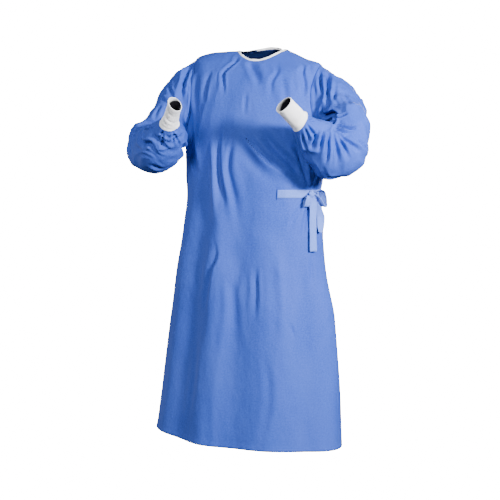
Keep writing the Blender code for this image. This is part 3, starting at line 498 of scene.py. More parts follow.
def grid_normals(grid, closed=False, flip=False):
    """The normal at each point of a grid."""
    if closed:
        around = np.roll(grid, -1, axis=1) - np.roll(grid, 1, axis=1)
    else:
        around = np.gradient(grid, axis=1)
    normal = unit(np.cross(around, np.gradient(grid, axis=0)))
    return -normal if flip else normal


def sleeve_sections(table, side, start):
    """Centre, outward half axis and front half axis of each section of a sleeve that starts at a point."""
    outer = np.stack([column(table, SLEEVE_COLUMNS, "outer_" + c) for c in "xyz"], axis=-1)
    inner = np.stack([column(table, SLEEVE_COLUMNS, "inner_" + c) for c in "xyz"], axis=-1)
    centre, out = (outer + inner) / 2, (outer - inner) / 2
    along = np.gradient(np.concatenate([[start], centre]), axis=0)[1:]
    front = unit(np.cross(along, out)) * (1.0 if side == "left" else -1.0)
    return centre, out, front * column(table, SLEEVE_COLUMNS, "half_width")[:, None]


SLEEVE_CLOCKS = np.concatenate([FRONT_CLOCKS[::-1], BACK_CLOCKS[1:-1]])


def sleeve_grid(table, side, loop):
    """Points of a sleeve, from the armhole loop to the cuff. Each row is a closed ring."""
    clocks = np.radians(SLEEVE_CLOCKS)
    rings = [loop]
    for middle, outward, forward in zip(*sleeve_sections(table, side, loop.mean(axis=0))):
        rings.append(middle + np.cos(clocks)[:, None] * outward + np.sin(clocks)[:, None] * forward)
    return smooth_through(rings, SLEEVE_ROWS)


def grid_at(grid, section, clock):
    """Values of a sleeve's grid at sections and clocks."""
    row = np.clip(np.asarray(section, float) * SLEEVE_ROWS, 0, len(grid) - 1.001)
    col = (np.asarray(clock, float) % 360.0) / 360.0 * grid.shape[1]
    r, c = row.astype(int), col.astype(int) % grid.shape[1]
    d = (c + 1) % grid.shape[1]
    down, right = (row - r)[:, None], (col - col.astype(int))[:, None]
    upper = grid[r, c] * (1 - right) + grid[r, d] * right
    lower = grid[r + 1, c] * (1 - right) + grid[r + 1, d] * right
    return upper * (1 - down) + lower * down


# ---------------------------------------------------------------- creases

class Crease:
    """One trough or ridge: a line of points on a surface, with its widths and depth along it."""

    def __init__(self, row, surface, sharpness, gain):
        crease = dict(zip(CREASE_COLUMNS, row))
        path = np.array(crease["path"], float)
        rough = surface(path[:, 0], path[:, 1])[0]
        places = np.concatenate([[0.0], np.cumsum(np.linalg.norm(np.diff(rough, axis=0), axis=1))])
        count = max(4, int(places[-1] / CREASE_STEP))
        at = np.linspace(0.0, places[-1], count)
        self.points, self.normals = surface(*(interpolate(places, path[:, i], at) for i in (0, 1)))
        self.tangents = unit(np.gradient(self.points, axis=0))
        self.sides = np.cross(self.normals, self.tangents)
        share = at / places[-1]
        self.widths = sharpness * (crease["width"] + (crease["end_width"] - crease["width"]) * share) / 1000
        fade_in = 1.0 if crease["start"] else eased(share, 0.0, FADE_IN)
        fade = fade_in * (1 - eased(share, 1 - FADE_OUT, 1.0))
        self.depths = gain * crease["depth"] / 1000 * fade
        self.lean = crease["lean"]

    def heights(self, points):
        """What the crease adds at each point."""
        total = np.zeros(len(points))
        reach = CREASE_REACH * self.widths.max()
        low, high = self.points.min(axis=0) - reach, self.points.max(axis=0) + reach
        near = np.where(np.all((points > low) & (points < high), axis=1))[0]
        for part in np.array_split(near, max(1, len(near) // 4000)):
            off = points[part][:, None] - self.points[None]
            nearest = np.argmin(np.sum(off**2, axis=-1), axis=1)
            off = off[np.arange(len(part)), nearest]
            across = np.sum(off * self.sides[nearest], axis=-1) / self.widths[nearest]
            beyond = np.sum(off * self.tangents[nearest], axis=-1) / self.widths[nearest]
            layer = np.abs(np.sum(off * self.normals[nearest], axis=-1))
            across = across * (1 + self.lean * np.sign(across))
            shape = np.exp(-across**2) - LIP * (np.exp(-(across - 2) ** 2) + np.exp(-(across + 2) ** 2))
            near = 1 - eased(layer, CREASE_LAYER / 2, CREASE_LAYER)
            fade = np.exp(-np.maximum(np.abs(beyond) - 0.5, 0.0) ** 2) * near
            total[part] = self.depths[nearest] * shape * fade
        return total


def body_surface(angle, z):
    return body_point(angle, run_at(angle, z))


def sleeve_surface(grid, flip):
    normals = grid_normals(grid, True, flip)
    return lambda section, clock: (grid_at(grid, section, clock), unit(grid_at(normals, section, clock)))


def hidden_rows(rows):
    """The same creases on the side that a wearer's body hides, a little further along and shallower."""
    made = []
    for path, width, end_width, depth, lean, start in rows:
        path = tuple((min(section + HIDDEN_SHIFT, 10.0), -clock) for section, clock in path)
        made.append((path, width, end_width, depth * HIDDEN_SHARE, -lean, start))
    return made


def crease_heights(points, creases):
    flat = points.reshape(-1, 3)
    return sum(crease.heights(flat) for crease in creases).reshape(points.shape[:-1])


def crumple(points, size, stretch, height):
    """Soft facets, as in creased paper: valleys between flat slopes, longer downwards by stretch."""
    flat = points.reshape(-1, 3) / np.array([size, size, size * stretch])
    values = np.empty(len(flat))
    for i, (x, y, z) in enumerate(flat):
        bend = noise.noise(Vector((x * 0.5 + 7.3, y * 0.5, z * 0.5)))
        ridge = abs(noise.noise(Vector((x + bend, y - bend, z + 2 * bend))))
        values[i] = 1.0 - 4.0 * ridge + 0.5 * noise.noise(Vector((2.3 * x, 2.3 * y, 1.7 * z + 5.1)))
    return (height * values).reshape(points.shape[:-1])


# ---------------------------------------------------------------- meshes

def lengths_along(grid, axis, closed=False):
    """How far each point lies from the grid's start, along its rows (axis 1) or its columns (axis 0)."""
    if closed:
        grid = np.concatenate([grid, grid[:, :1]], axis=1)
    steps = np.linalg.norm(np.diff(grid, axis=axis), axis=-1)
    start = np.zeros_like(steps[:1] if axis == 0 else steps[:, :1])
    return np.concatenate([start, np.cumsum(steps, axis=axis)], axis=axis)


def quads_of(rows, columns, closed, flip):
    """Quads of a grid as an array, and the same quads on a grid with one more column if it is closed."""
    r, c = np.meshgrid(np.arange(rows - 1), np.arange(columns if closed else columns - 1), indexing="ij")
    r, c = r.ravel(), c.ravel()
    d = (c + 1) % columns
    quads = np.stack([r * columns + c, r * columns + d, (r + 1) * columns + d, (r + 1) * columns + c], axis=1)
    wide = columns + 1 if closed else columns
    flat = np.stack([r * wide + c, r * wide + c + 1, (r + 1) * wide + c + 1, (r + 1) * wide + c], axis=1)
    return (quads[:, ::-1], flat[:, ::-1]) if flip else (quads, flat)


def border_of(rows, columns, closed):
    """The open edges of a grid as loops of indices."""
    index = np.arange(rows * columns).reshape(rows, columns)
    if closed:
        return [index[0], index[-1][::-1]]
    return [np.concatenate([index[0], index[1:, -1], index[-1, -2::-1], index[-2:0:-1, 0]])]


def add_shell(name, grid, thickness, material, closed=False, flip=False, inside=None, outward=None):
    """A thin closed shell whose outer face is the grid. Its UV map is in metres of cloth. Inside is a
    material for its inner face, if that isn't the same. Outward replaces the grid's own normals where
    ribs are finer than the thickness, so that the inner face doesn't fold on itself."""
    rows, columns = grid.shape[:2]
    outer = grid.reshape(-1, 3)
    if outward is None:
        outward = grid_normals(grid, closed, flip)
    inner = (grid - outward * thickness).reshape(-1, 3)
    quads, flat = quads_of(rows, columns, closed, flip)
    count = len(outer)
    rims = []
    for loop in border_of(rows, columns, closed):
        a, b = loop, np.roll(loop, -1)
        rim = np.stack([b, a, count + a, count + b], axis=1)
        rims.append(rim[:, ::-1] if flip else rim)
    faces = np.concatenate([quads, count + quads[:, ::-1], *rims])
    mesh = bpy.data.meshes.new(name)
    mesh.from_pydata(np.concatenate([outer, inner]).tolist(), [], faces.tolist())
    u, v = lengths_along(grid, 1, closed), lengths_along(grid, 0, closed)
    places = np.stack([u, v], axis=-1).reshape(-1, 2)
    rim = np.concatenate(rims) % count
    rim_places = np.stack([u[rim // columns, rim % columns], v[rim // columns, rim % columns]], axis=-1)
    corners = np.concatenate([places[flat], places[flat[:, ::-1]], rim_places])
    layer = mesh.uv_layers.new(name="cloth")
    layer.data.foreach_set("uv", corners.reshape(-1).astype(np.float32))
    if inside is not None:
        mesh.materials.append(material)
        mesh.materials.append(inside)
        slots = np.zeros(len(faces), np.int32)
        slots[len(quads):2 * len(quads)] = 1
        mesh.polygons.foreach_set("material_index", slots)
    return finish_piece(name, mesh, material)


def finish_piece(name, mesh, material):
    if not mesh.materials:
        mesh.materials.append(material)
    mesh.validate()
    mesh.shade_smooth()
    piece = bpy.data.objects.new(name, mesh)
    bpy.context.scene.collection.objects.link(piece)
    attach(piece, "root")
    return piece


def add_tube(name, rings, material):
    """A closed solid through rings of points, with its ends capped."""
    rows, points = rings.shape[:2]
    quads, flat = quads_of(rows, points, True, False)
    ends = [list(range(points))[::-1], list(range((rows - 1) * points, rows * points))]
    mesh = bpy.data.meshes.new(name)
    mesh.from_pydata(rings.reshape(-1, 3).tolist(), [], quads.tolist() + ends)
    u, v = lengths_along(rings, 1, True), lengths_along(rings, 0, True)
    places = np.stack([u, v], axis=-1).reshape(-1, 2)
    caps = np.stack([u[0, :points], v[0, :points]], axis=-1)
    corners = np.concatenate([places[flat].reshape(-1, 2), caps[::-1], caps])
    mesh.uv_layers.new(name="cloth").data.foreach_set("uv", corners.reshape(-1).astype(np.float32))
    return finish_piece(name, mesh, material)


# ---------------------------------------------------------------- the pieces of the gown

BODY_CRUMPLE = (0.095, 2.8, 0.0011)  # size, downward stretch and height of the soft facets
SLEEVE_CRUMPLE = (0.050, 1.15, 0.0024)
NECK_CALM = (NECK - 0.045, NECK)  # the binding keeps the neckline smooth
BELT_BITE = 0.0014  # how far the tied belt presses the cloth in
BELT_BITE_REACH = 0.020


def belt_bite(angle, z):
    """How far the tied belt presses in the cloth under it and beside it."""
    middle, half = (BELT_BOTTOM + BELT_TOP) / 2, (BELT_TOP - BELT_BOTTOM) / 2
    beside = np.maximum(np.abs(z - middle) - half, 0.0)
    held = eased(angle, BELT_START + 6, KNOT_ANGLE) * (1 - eased(angle, BELT_END, BELT_END + 15))
    return -BELT_BITE * held * (1 - eased(beside, 0.0, BELT_BITE_REACH))


def body_cloth(angle, run, creases, lift=0.0):
    """The creased cloth of the body at angles and runs."""
    point, normal = body_point(angle, run, lift)
    height = (crease_heights(point, creases) + crumple(point, *BODY_CRUMPLE)) * (1 - eased(run, *NECK_CALM))
    height = height + belt_bite(np.asarray(angle) % 360.0, point[..., 2])
    return point + normal * height[..., None], normal


def edge_height(grid, edges):
    """Seams dip and hems stand out. Edges names each side of the grid with what it is."""
    height = np.zeros(grid.shape[:2])
    for side, kind in edges.items():
        axis = 0 if side in ("bottom", "top") else 1
        away = lengths_along(grid, axis)
        if side in ("top", "right"):
            away = (away[-1:] if axis == 0 else away[:, -1:]) - away
        if kind == "seam":
            height -= SEAM_DIP * np.exp(-(away / 0.0035) ** 2)
        else:
            height += HEM_RISE * (1 - eased(away, HEM_WIDTH, HEM_WIDTH + 0.004))
            height -= 0.8 * HEM_RISE * np.exp(-((away - HEM_WIDTH) / 0.002) ** 2)
    return height


def make_panels(creases):
    """The grids of the front and the two backs, creased, with seams and hems."""
    angle, run = front_grid()
    front, normal = body_cloth(angle, run, creases)
    front = front + normal * edge_height(front, {"left": "seam", "right": "seam", "bottom": "hem"})[..., None]
    angle, run = back_grid()
    edges = {"left": "seam", "right": "hem", "bottom": "hem"}
    back_left, normal = body_cloth(angle, run, creases, tuck_depth(angle))
    back_left = back_left + normal * edge_height(back_left, edges)[..., None]
    back_right, normal = body_cloth(-angle, run, creases)
    back_right = back_right + normal * edge_height(back_right, edges)[..., None]
    return {"front": front, "back_left": back_left, "back_right": back_right}


def armhole_loop(panels, side):
    """The seam points of one armhole, clockwise from the shoulder through the front."""
    start, end = BODY_ROWS, BODY_ROWS + ARMHOLE_ROWS + 1
    front_edge = panels["front"][start:end, -1 if side == "left" else 0]
    back_edge = panels["back_" + side][start:end, 0]
    return np.concatenate([front_edge[::-1], back_edge[1:-1]])


def make_sleeve(side, table, rows, panels, body_creases):
    """The creased grid of one sleeve."""
    flip = side == "right"
    base = sleeve_grid(table, side, armhole_loop(panels, side))
    normals = grid_normals(base, True, flip)
    surface = sleeve_surface(base, flip)
    creases = [Crease(row, surface, SLEEVE_SHARPNESS, SLEEVE_GAIN) for row in list(rows) + hidden_rows(rows)]
    section = np.arange(len(base))[:, None] / SLEEVE_ROWS
    calm = 1 - 0.6 * eased(section, 8.5, 10.0)
    own = crease_heights(base, creases) + crumple(base, *SLEEVE_CRUMPLE) * calm
    shared = crease_heights(base, body_creases) * (1 - eased(section, 0.0, 1.2))
    away = section / 10.0
    height = (own + shared) * eased(section, 0.0, 0.5) * (1 - eased(away, 0.985, 1.0))
    return base + normals * height[..., None]


def ring_resampled(ring, count):
    """Evenly spaced points round a closed ring."""
    closed = np.concatenate([ring, ring[:1]])
    places = np.concatenate([[0.0], np.cumsum(np.linalg.norm(np.diff(closed, axis=0), axis=1))])
    at = np.linspace(0.0, places[-1], count, endpoint=False)
    return np.stack([np.interp(at, places, closed[:, axis]) for axis in range(3)], axis=-1)


# Soft wrinkles across a cuff: where along it, the middle and half spread of the clocks that each covers, its
# width in metres and its depth.
WRINKLE_COLUMNS = ("along", "clock", "spread", "width", "depth")
CUFF_WRINKLES = {
    "left": ((0.016, 80, 70, 0.004, 0.0012), (0.034, 120, 60, 0.004, 0.0009), (0.050, 60, 60, 0.004, 0.0007)),
    "right": ((0.014, 60, 80, 0.004, 0.0018), (0.026, 20, 80, 0.0035, 0.0020),
              (0.037, 80, 70, 0.0035, 0.0018), (0.050, 30, 70, 0.004, 0.0014)),
}


def make_cuff(side, sleeve_end):
    """The ribbed grid of one cuff, and the outward direction of each of its columns."""
    ring = ring_resampled(sleeve_end, CUFF_POINTS)
    base = ring.mean(axis=0)
    axis = unit(np.array(CUFF_TIPS[side]) - base)
    spokes = unit(ring - base - np.outer((ring - base) @ axis, axis))
    rings = [ring]
    for row in CUFF_RINGS[side]:
        level = dict(zip(CUFF_COLUMNS, row))
        rings.append(base + axis * level["along"] + spokes * level["radius"])
    grid = smooth_through(rings, CUFF_ROWS)
    along = (grid - base) @ axis
    clock = np.linspace(0.0, 360.0, CUFF_POINTS, endpoint=False)
    lean = spokes @ np.array(MOUTH_TILT[side]) * eased(along, 0.02, CUFF_LENGTH)
    grid = grid + axis * lean[..., None]
    height = RIB_HEIGHT * np.cos(np.radians(clock) * RIBS) * eased(along, 0.002, 0.008)
    height = height - 0.0012 * np.exp(-(along / 0.003) ** 2)
    for row in CUFF_WRINKLES[side]:
        wrinkle = dict(zip(WRINKLE_COLUMNS, row))
        off = (clock - wrinkle["clock"] + 180.0) % 360.0 - 180.0
        tilt = wrinkle["along"] + 0.004 * np.sin(np.radians(off * 2))
        height = height - wrinkle["depth"] * np.exp(-((along - tilt) / wrinkle["width"]) ** 2
                                                    - (off / wrinkle["spread"]) ** 2)
    return grid + spokes * height[..., None], spokes


BINDING_RISE = 0.0074
BINDING_THICK = 0.0024
BINDING_PUCKER = 0.0006


def make_binding(panels):
    """Rings of the folded tape round the neckline, from the tucked back's free edge to the outer back's."""
    rows = []
    for r in (-3, -1):
        rows.append(np.concatenate([panels["back_left"][r, ::-1], panels["front"][r, -2:0:-1],
                                    panels["back_right"][r]]))
    below, base = rows
    climb = unit(base - below)
    out = unit(np.cross(climb, np.gradient(base, axis=0)))
    turns = np.linspace(0.0, 2 * math.pi, 16, endpoint=False)
    rings = []
    for point, up, away in zip(base, climb, out):
        pucker = BINDING_PUCKER * noise.noise(Vector(point) * 90)
        ring = [point + up * (BINDING_RISE / 2 + (BINDING_RISE / 2) * signed_power(math.cos(t), 0.6) + 0.0002)
                + away * ((BINDING_THICK / 2) * signed_power(math.sin(t), 0.8) + pucker) for t in turns]
        rings.append(ring)
    return np.array(rings)


# ---------------------------------------------------------------- the tie

def belt_grid(start, end, creases):
    """A strip of belt on the body between two angles. It lies on the tucked back, then on the outer one."""
    count = max(8, int(abs(end - start) * 1.6))
    angles = np.linspace(start, end, count)
    tuck = tuck_depth(angles) * (1 - eased(angles, BELT_CROSSING, OUTER_EDGE))
    heights = np.linspace(BELT_BOTTOM, BELT_TOP, 9)
    rows = []
    for z in heights:
        run = run_at(angles, np.full(count, z))
        point, normal = body_cloth(angles, run, creases)
        rows.append(point + normal * (BELT_LIFT + TIE + tuck)[:, None])
    grid = np.array(rows)
    edge = np.abs(np.linspace(-1, 1, 9))[:, None]
    normals = grid_normals(grid)
    return grid - normals * (0.0005 * edge**4)[..., None]


TACK_RADIUS = 0.0014
TACK_REACH = 0.004  # how far it runs past the belt's edges


def make_tack(creases):
    """Rings of the stitched tack that holds the belt's end, from below the belt to above it."""
    heights = np.linspace(BELT_BOTTOM - TACK_REACH, BELT_TOP + TACK_REACH, 14)
    angles = np.full(len(heights), BELT_START - 0.25)
    point, normal = body_cloth(angles, run_at(angles, heights), creases)
    middle = point + normal * (BELT_LIFT + TIE)
    along = unit(np.gradient(middle, axis=0))
    side = np.cross(normal, along)
    turns = np.linspace(0.0, 2 * math.pi, 10, endpoint=False)
    return np.array([[m + TACK_RADIUS * (math.cos(t) * n + math.sin(t) * s) for t in turns]
                     for m, n, s in zip(middle, normal, side)])


def ribbon_grid(table, origin, axes, rows_each, crown, wave):
    """A strip of tie through a bow table, arched across by crown and waved along by wave."""
    stations = []
    for row in table:
        place = dict(zip(BOW_COLUMNS, row))
        middle = sum(axis * place[name] for axis, name in zip(axes, ("along", "up", "out")))
        turn = sum(axis * place["turn_" + name] for axis, name in zip(axes, ("along", "up", "out")))
        stations.append(np.concatenate([origin + middle / 1000, unit(turn), [place["width"] / 1000]]))
    rows = smooth_through(np.array(stations)[:, None, :], rows_each)[:, 0]
    middle, across, width = rows[:, :3], rows[:, 3:6], rows[:, 6]
    along = unit(np.gradient(middle, axis=0))
    across = unit(across - along * np.sum(across * along, axis=-1, keepdims=True))
    face = np.cross(across, along)
    share = np.linspace(-1.0, 1.0, 9)
    sway = np.sin(np.arange(len(rows)) * 0.55) * np.linspace(0, 1, len(rows))
    height = crown * (1 - share[None] ** 2) + wave * sway[:, None] * share[None]
    height = height - 0.0004 * share[None] ** 6
    aside = across[:, None] * (width[:, None] * share / 2)[..., None]
    return middle[:, None] + aside + face[:, None] * height[..., None]


def make_knot(origin, axes):
    """Rings of the knot: the tie wrapped over itself, with its turns drawn tight."""
    along, up, out = axes
    half_along, half_up, half_out = KNOT_HALF
    middle = origin + out * (half_out + BELT_LIFT)
    rings = []
    for polar in np.linspace(0.04, 0.96, 28) * math.pi:
        ring = []
        for turn in np.linspace(0.0, 2 * math.pi, 48, endpoint=False):
            wrap = 1 + 0.07 * math.sin(3 * turn + 4 * polar) + 0.10 * math.exp(-((polar - 1.57) / 0.5) ** 2)
            wrap -= 0.16 * (math.exp(-((polar - 0.95) / 0.16) ** 2) + math.exp(-((polar - 2.2) / 0.16) ** 2))
            spoke = up * half_up * math.cos(turn) + out * half_out * math.sin(turn)
            ring.append(middle - along * half_along * math.cos(polar) + spoke * math.sin(polar) * wrap)
        rings.append(ring)
    return np.array(rings)


def knot_frame():
    """The middle of the belt at the knot, and the directions along it, up and out."""
    angles = np.array([KNOT_ANGLE - 4, KNOT_ANGLE, KNOT_ANGLE + 4])
    bottom, top = (body_point(angles, run_at(angles, np.full(3, z)))[0] for z in (BELT_BOTTOM, BELT_TOP))
    along = unit(bottom[2] - bottom[0])
    out = unit(np.cross(along, np.array([0.0, 0.0, 1.0])))
    up = np.cross(out, along)
    return (bottom[1] + top[1]) / 2 + out * (BELT_LIFT + TIE), (along, up, out)


# ---------------------------------------------------------------- materials

GOWN_BLUE = (0.034, 0.080, 0.420)
GOWN_DEEP = (0.021, 0.055, 0.325)
GOWN_PALE = (0.066, 0.125, 0.520)
# Painted shade: a dark navy on the inner faces of the shells, standing in for the shade inside the gown.
GOWN_INSIDE_PAINTED_SHADE = (0.008, 0.016, 0.080)
TIE_BLUE = (0.110, 0.190, 0.620)
TIE_DEEP = (0.080, 0.150, 0.540)
TIE_PALE = (0.170, 0.260, 0.700)
WHITE = (0.92, 0.92, 0.93)
OFF_WHITE = (0.80, 0.80, 0.83)
# Painted shade for the inner faces of the cuffs.
SHADE = (0.010, 0.009, 0.014)


SHEEN_TINT = (0.45, 0.55, 0.95, 1.0)


class Graph:
    """A material's nodes, added and joined in one call each."""

    def __init__(self, name, roughness, sheen, sheen_roughness):
        self.material = bpy.data.materials.new(name)
        self.material.use_nodes = True
        self.tree = self.material.node_tree
        self.shader = self.tree.nodes["Principled BSDF"]
        self.shader.inputs["Roughness"].default_value = roughness
        self.shader.inputs["Sheen Weight"].default_value = sheen
        self.shader.inputs["Sheen Roughness"].default_value = sheen_roughness
        self.shader.inputs["Sheen Tint"].default_value = SHEEN_TINT
        self.shader.inputs["Specular IOR Level"].default_value = 0.06

    def add(self, kind, settings=(), **inputs):
        node = self.tree.nodes.new(kind)
        for key, value in dict(settings).items():
            setattr(node, key, value)
        for key, value in inputs.items():
            socket = node.inputs[int(key[1:])] if key[1:].isdigit() else node.inputs[key.replace("_", " ")]
            if isinstance(value, bpy.types.NodeSocket):
                self.tree.links.new(value, socket)
            else:
                socket.default_value = value
        return node

    def place(self, kind, stretch=(1.0, 1.0, 1.0)):
        """UV (metres of cloth) or Object coordinates, stretched."""
        source = self.add("ShaderNodeTexCoord").outputs[kind]
        return self.add("ShaderNodeMapping", Vector=source, Scale=stretch).outputs["Vector"]

    def noise(self, vector, scale, detail=3.0, roughness=0.55):
        node = self.add("ShaderNodeTexNoise", Vector=vector, Scale=scale, Detail=detail, Roughness=roughness)
        return node.outputs["Fac"]

    def ramp(self, value, low, high):
        node = self.add("ShaderNodeMapRange", Value=value, From_Min=low, From_Max=high)
        node.clamp = True
        return node.outputs["Result"]

    def maths(self, operation, first, second):
        return self.add("ShaderNodeMath", {"operation": operation}, _0=first, _1=second).outputs["Value"]

    def mix(self, share, first, second):
        node = self.add("ShaderNodeMix", {"data_type": "RGBA"}, Factor=share)
        for name, value in (("A", first), ("B", second)):
            socket = next(s for s in node.inputs if s.name == name and s.type == "RGBA")
            if isinstance(value, bpy.types.NodeSocket):
                self.tree.links.new(value, socket)
            else:
                socket.default_value = (*value, 1.0)
        return next(s for s in node.outputs if s.type == "RGBA")

    def bump(self, height, distance, strength=1.0, under=None):
        node = self.add("ShaderNodeBump", Height=height, Distance=distance, Strength=strength)
        if under is not None:
            self.tree.links.new(under, node.inputs["Normal"])
        return node.outputs["Normal"]

    def finish(self, colour, roughness, normal):
        self.tree.links.new(colour, self.shader.inputs["Base Color"])
        self.tree.links.new(roughness, self.shader.inputs["Roughness"])
        self.tree.links.new(normal, self.shader.inputs["Normal"])
        return self.material


EMBOSS_PITCH = 0.0016  # between the bonded points of the nonwoven


def nonwoven(name, colour, deep, pale, sheen, wrinkle):
    """Spun-bonded cloth: uneven fibres, rows of bonded points, and small wrinkles."""
    graph = Graph(name, 0.6, sheen, 0.45)
    cloth, space = graph.place("UV"), graph.place("Object", (1.0, 1.0, 0.55))
    fibres = graph.noise(graph.place("UV", (1.0, 0.35, 1.0)), 1500, 4.0, 0.65)
    cloud = graph.noise(cloth, 210, 4.0, 0.6)
    patch = graph.noise(space, 9.0, 2.0)
    turn = math.radians(45)
    dots = graph.add("ShaderNodeMapping", Vector=cloth, Rotation=(0.0, 0.0, turn)).outputs["Vector"]
    cells = graph.add("ShaderNodeTexVoronoi", {"feature": "F1"}, Vector=dots, Scale=1 / EMBOSS_PITCH,
                      Randomness=0.12).outputs["Distance"]
    points = graph.ramp(cells, 0.16, 0.34)
    tone = graph.mix(graph.ramp(cloud, 0.34, 0.68), deep, colour)
    tone = graph.mix(graph.maths("MULTIPLY", graph.ramp(fibres, 0.5, 0.75), 0.55), tone, pale)
    tone = graph.mix(graph.maths("MULTIPLY", graph.ramp(patch, 0.35, 0.7), 0.25), tone, pale)
    tone = graph.mix(graph.maths("MULTIPLY", graph.maths("SUBTRACT", 1.0, points), 0.30), tone, deep)
    rough = graph.maths("ADD", graph.maths("MULTIPLY", cloud, 0.20), 0.48)
    creases = graph.noise(space, 34.0, 3.0, 0.5)
    normal = graph.bump(creases, 0.0022 * wrinkle)
    normal = graph.bump(graph.noise(space, 95.0, 2.0, 0.5), 0.0005 * wrinkle, under=normal)
    normal = graph.bump(points, 0.00010, under=normal)
    normal = graph.bump(fibres, 0.00008, under=normal)
    return graph.finish(tone, rough, normal)


WAVE_PERIOD = 0.3142  # a wave texture's bands are this far apart at scale 1
KNIT_STITCH = 0.0013


def rib_knit(name):
    """White rib knit: rows of stitches on the ribs, with a soft nap."""
    graph = Graph(name, 0.85, 0.35, 0.5)
    cloth = graph.place("UV")
    bands = {"wave_type": "BANDS", "bands_direction": "Y", "wave_profile": "SIN"}
    rows = graph.add("ShaderNodeTexWave", bands, Vector=cloth, Scale=WAVE_PERIOD / KNIT_STITCH,
                     Distortion=1.2, Detail=1.0, Detail_Scale=3.0)
    nap = graph.noise(cloth, 1300, 3.0)
    soil = graph.noise(graph.place("Object"), 40.0, 3.0)
    tone = graph.mix(graph.ramp(rows.outputs["Fac"], 0.0, 0.7), OFF_WHITE, WHITE)
    tone = graph.mix(graph.maths("MULTIPLY", graph.ramp(soil, 0.45, 0.75), 0.25), tone, OFF_WHITE)
    rough = graph.maths("ADD", graph.maths("MULTIPLY", nap, 0.15), 0.75)
    normal = graph.bump(rows.outputs["Fac"], 0.00025)
    normal = graph.bump(nap, 0.00012, under=normal)
    return graph.finish(tone, rough, normal)


TAPE_PITCH = 0.0007


def cuff_inside_painted_shade(name, depth):
    """The inside of a cuff: knit at its mouth, and painted deep shade further in, a near-black colour
    standing in for the shade in the cuff's hollow. Depth is the cuff's length.
    """
    graph = Graph(name, 0.9, 0.0, 0.5)
    cloth = graph.place("UV")
    along = graph.add("ShaderNodeSeparateXYZ", Vector=cloth).outputs["Y"]
    nap = graph.noise(cloth, 900, 3.0)
    # Painted shade: near-black deeper in, turning to the knit's off-white over the last 10 mm before the
    # mouth.
    tone = graph.mix(graph.ramp(along, depth - 0.010, depth - 0.002), SHADE, OFF_WHITE)
    tone = graph.mix(graph.maths("MULTIPLY", nap, 0.2), tone, SHADE)
    rough = graph.maths("ADD", graph.maths("MULTIPLY", nap, 0.1), 0.85)
    return graph.finish(tone, rough, graph.bump(nap, 0.0002))


def woven_tape(name):
    """White bias tape: a fine plain weave with small puckers."""
    graph = Graph(name, 0.75, 0.2, 0.5)
    cloth = graph.place("UV")
    threads = []
    for direction in ("X", "Y"):
        wave = graph.add("ShaderNodeTexWave", {"wave_type": "BANDS", "bands_direction": direction},
                         Vector=cloth, Scale=WAVE_PERIOD / TAPE_PITCH, Distortion=0.3)
        threads.append(wave.outputs["Fac"])
    weave = graph.maths("MAXIMUM", *threads)
    cloud = graph.noise(cloth, 120, 3.0)
    tone = graph.mix(graph.ramp(cloud, 0.3, 0.7), OFF_WHITE, WHITE)
    tone = graph.mix(graph.maths("MULTIPLY", graph.maths("SUBTRACT", 1.0, weave), 0.4), tone, OFF_WHITE)
    rough = graph.maths("ADD", graph.maths("MULTIPLY", cloud, 0.15), 0.65)
    normal = graph.bump(graph.noise(cloth, 260, 2.0), 0.0005)
    normal = graph.bump(weave, 0.00008, under=normal)
    return graph.finish(tone, rough, normal)


def plain(name, colour, glow):
    """A backdrop or floor material, with a little unevenness."""
    graph = Graph(name, 0.9, 0.0, 0.5)
    cloud = graph.noise(graph.place("Object"), 2.0)
    tone = graph.mix(cloud, tuple(c * 0.98 for c in colour), colour)
    graph.shader.inputs["Emission Color"].default_value = (1.0, 1.0, 1.0, 1.0)
    graph.shader.inputs["Emission Strength"].default_value = glow
    graph.tree.links.new(tone, graph.shader.inputs["Base Color"])
    return graph.material


# ---------------------------------------------------------------- the stage, the lights and the camera

TARGET = (-0.038, -0.012, -0.600)
AZIMUTH, ELEVATION, DISTANCE = 18.0, 3.8, 3.0
LENS = 70.8
FLOOR_Z = -1.75
DOME_RADIUS = 8.0
DOME_GLOW = 20.0

# Azimuth and elevation from the object, distance, size, power and whiteness of each area light.
LIGHT_COLUMNS = ("name", "azimuth", "elevation", "distance", "size", "power", "colour")
LIGHTS = (
    ("key", 58, 12, 2.2, 0.32, 160, (1.0, 0.99, 0.98)),
    ("fill", -6, 26, 3.2, 1.2, 98, (0.97, 0.98, 1.0)),
    ("rim", -92, -12, 2.6, 1.2, 20, (0.95, 0.97, 1.0)),
    ("back", 178, 12, 3.2, 1.6, 110, (1.0, 1.0, 1.0)),
)
LIT = (-0.030, -0.020, -0.330)  # the lights point at the chest
WORLD_GREY, WORLD_STRENGTH = 0.8, 0.22


def direction(azimuth, elevation):
    a, e = math.radians(azimuth), math.radians(elevation)
    return Vector((math.sin(a) * math.cos(e), -math.cos(a) * math.cos(e), math.sin(e)))


def aim(obj, place, target):
    obj.location = place
    obj.rotation_euler = (Vector(target) - Vector(place)).to_track_quat("-Z", "Y").to_euler()
    bpy.context.scene.collection.objects.link(obj)


